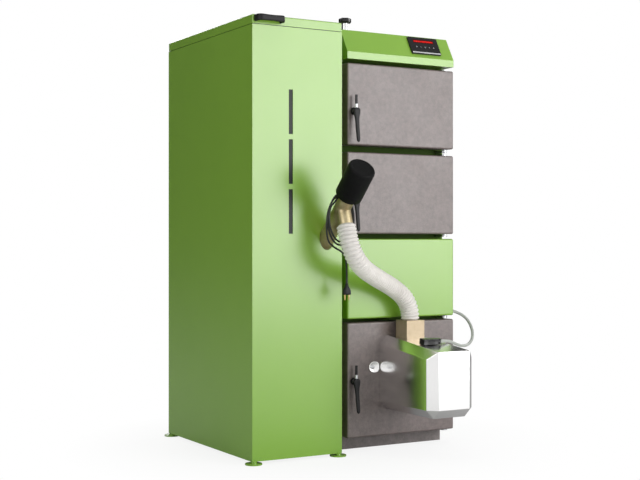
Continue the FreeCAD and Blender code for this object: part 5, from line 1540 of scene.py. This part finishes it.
@dataclass
class BackFittings:
    """Small fittings on the back: panel screws, hexagon socket collars and a bead on the flue stub."""

    back: float = 0.3
    hopper_back: float = 0.3005
    boiler_columns: tuple[float, ...] = (-0.226, 0.226)
    boiler_rows: tuple[float, ...] = (0.11, 0.44, 0.77, 1.1, 1.43)
    hopper_columns: tuple[float, ...] = (-0.61, -0.284)
    hopper_rows: tuple[float, ...] = (0.08, 0.52, 0.96, 1.4)
    sockets: tuple[tuple[float, float], ...] = ((0.12, 1.39), (-0.12, 0.15), (0.12, 0.12))
    flue: tuple[float, float] = (0.0, 1.237)
    bead_at: float = 0.338

    def facing(self, x: float, z: float, y: float) -> Frame:
        """A place on the back that faces away from the doors."""
        return Frame((x, y, z), (1, 0, 0), (0, 0, 1), (0, 1, 0))

    def build(self, palette: Palette) -> list[bpy.types.Object]:
        """Make the screws and collars as one piece and the flue's bead as another.

        Args:
            palette: The finishes.

        Returns:
            The two pieces.
        """
        head = ((0.0, 0.0), (0.0, 0.0055), (0.0008, 0.0055), (0.002, 0.0042), (0.0025, 0.0022), (0.0026, 0.0))
        spots = [(x, z, self.back) for x in self.boiler_columns for z in self.boiler_rows]
        spots += [(x, z, self.hopper_back) for x in self.hopper_columns for z in self.hopper_rows]
        shell = Shell("back_screws_and_collars")
        for spot in spots:
            shell.grid(self.facing(*spot).place(turned(head, 20)), "zinc_plate")
        collar = ((0.0002, 0.0272), (0.0002, 0.0305), (0.0012, 0.0312), (0.009, 0.0312), (0.010, 0.0305),
                  (0.010, 0.0272))
        for x, z in self.sockets:
            shell.grid(self.facing(x, z, self.back).place(hexagon(collar)), "zinc_plate", wrap_rows=True)
        bead = ((0.0, 0.0751), (0.002, 0.0768), (0.004, 0.0775), (0.006, 0.0768), (0.008, 0.0751))
        ring = self.facing(*self.flue, self.bead_at).place(turned(bead, 96))
        flue_bead = Shell("flue_bead").grid(ring, "boiler_plate", wrap_rows=True)
        return [seat(shell.make(palette), "boiler"),
                seat(flue_bead.make(palette), "boiler")]


def main() -> None:
    """Build the studio, then each sub-assembly, and report every piece."""
    logging.basicConfig(level=logging.INFO, format="%(message)s")
    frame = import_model()
    palette = Palette()
    palette.dress_nodes(frame["nodes"])
    Studio().build(palette)
    plug = TwoPinPlug().build(palette)
    pieces = [FeedHose().build(palette), BurnerCable().build(palette), plug, MotorLead().build(palette, plug)]
    levers = [LeverHandle(door, hub) for door, hub in (("lower", 0.255), ("middle", 0.896), ("upper", 1.211))]
    for fitting in (*levers, LidGrip(), AugerMotor(), DamperKnob(), BurnerHood(), BurnerConnector(),
                    CableGland(), Peephole()):
        pieces.append(fitting.build(palette))
    pieces += ControlPanel().build(palette) + BackFittings().build(palette)
    for thing in pieces:
        LOG.info("built %s", thing.name)


if __name__ == "__main__":
    main()
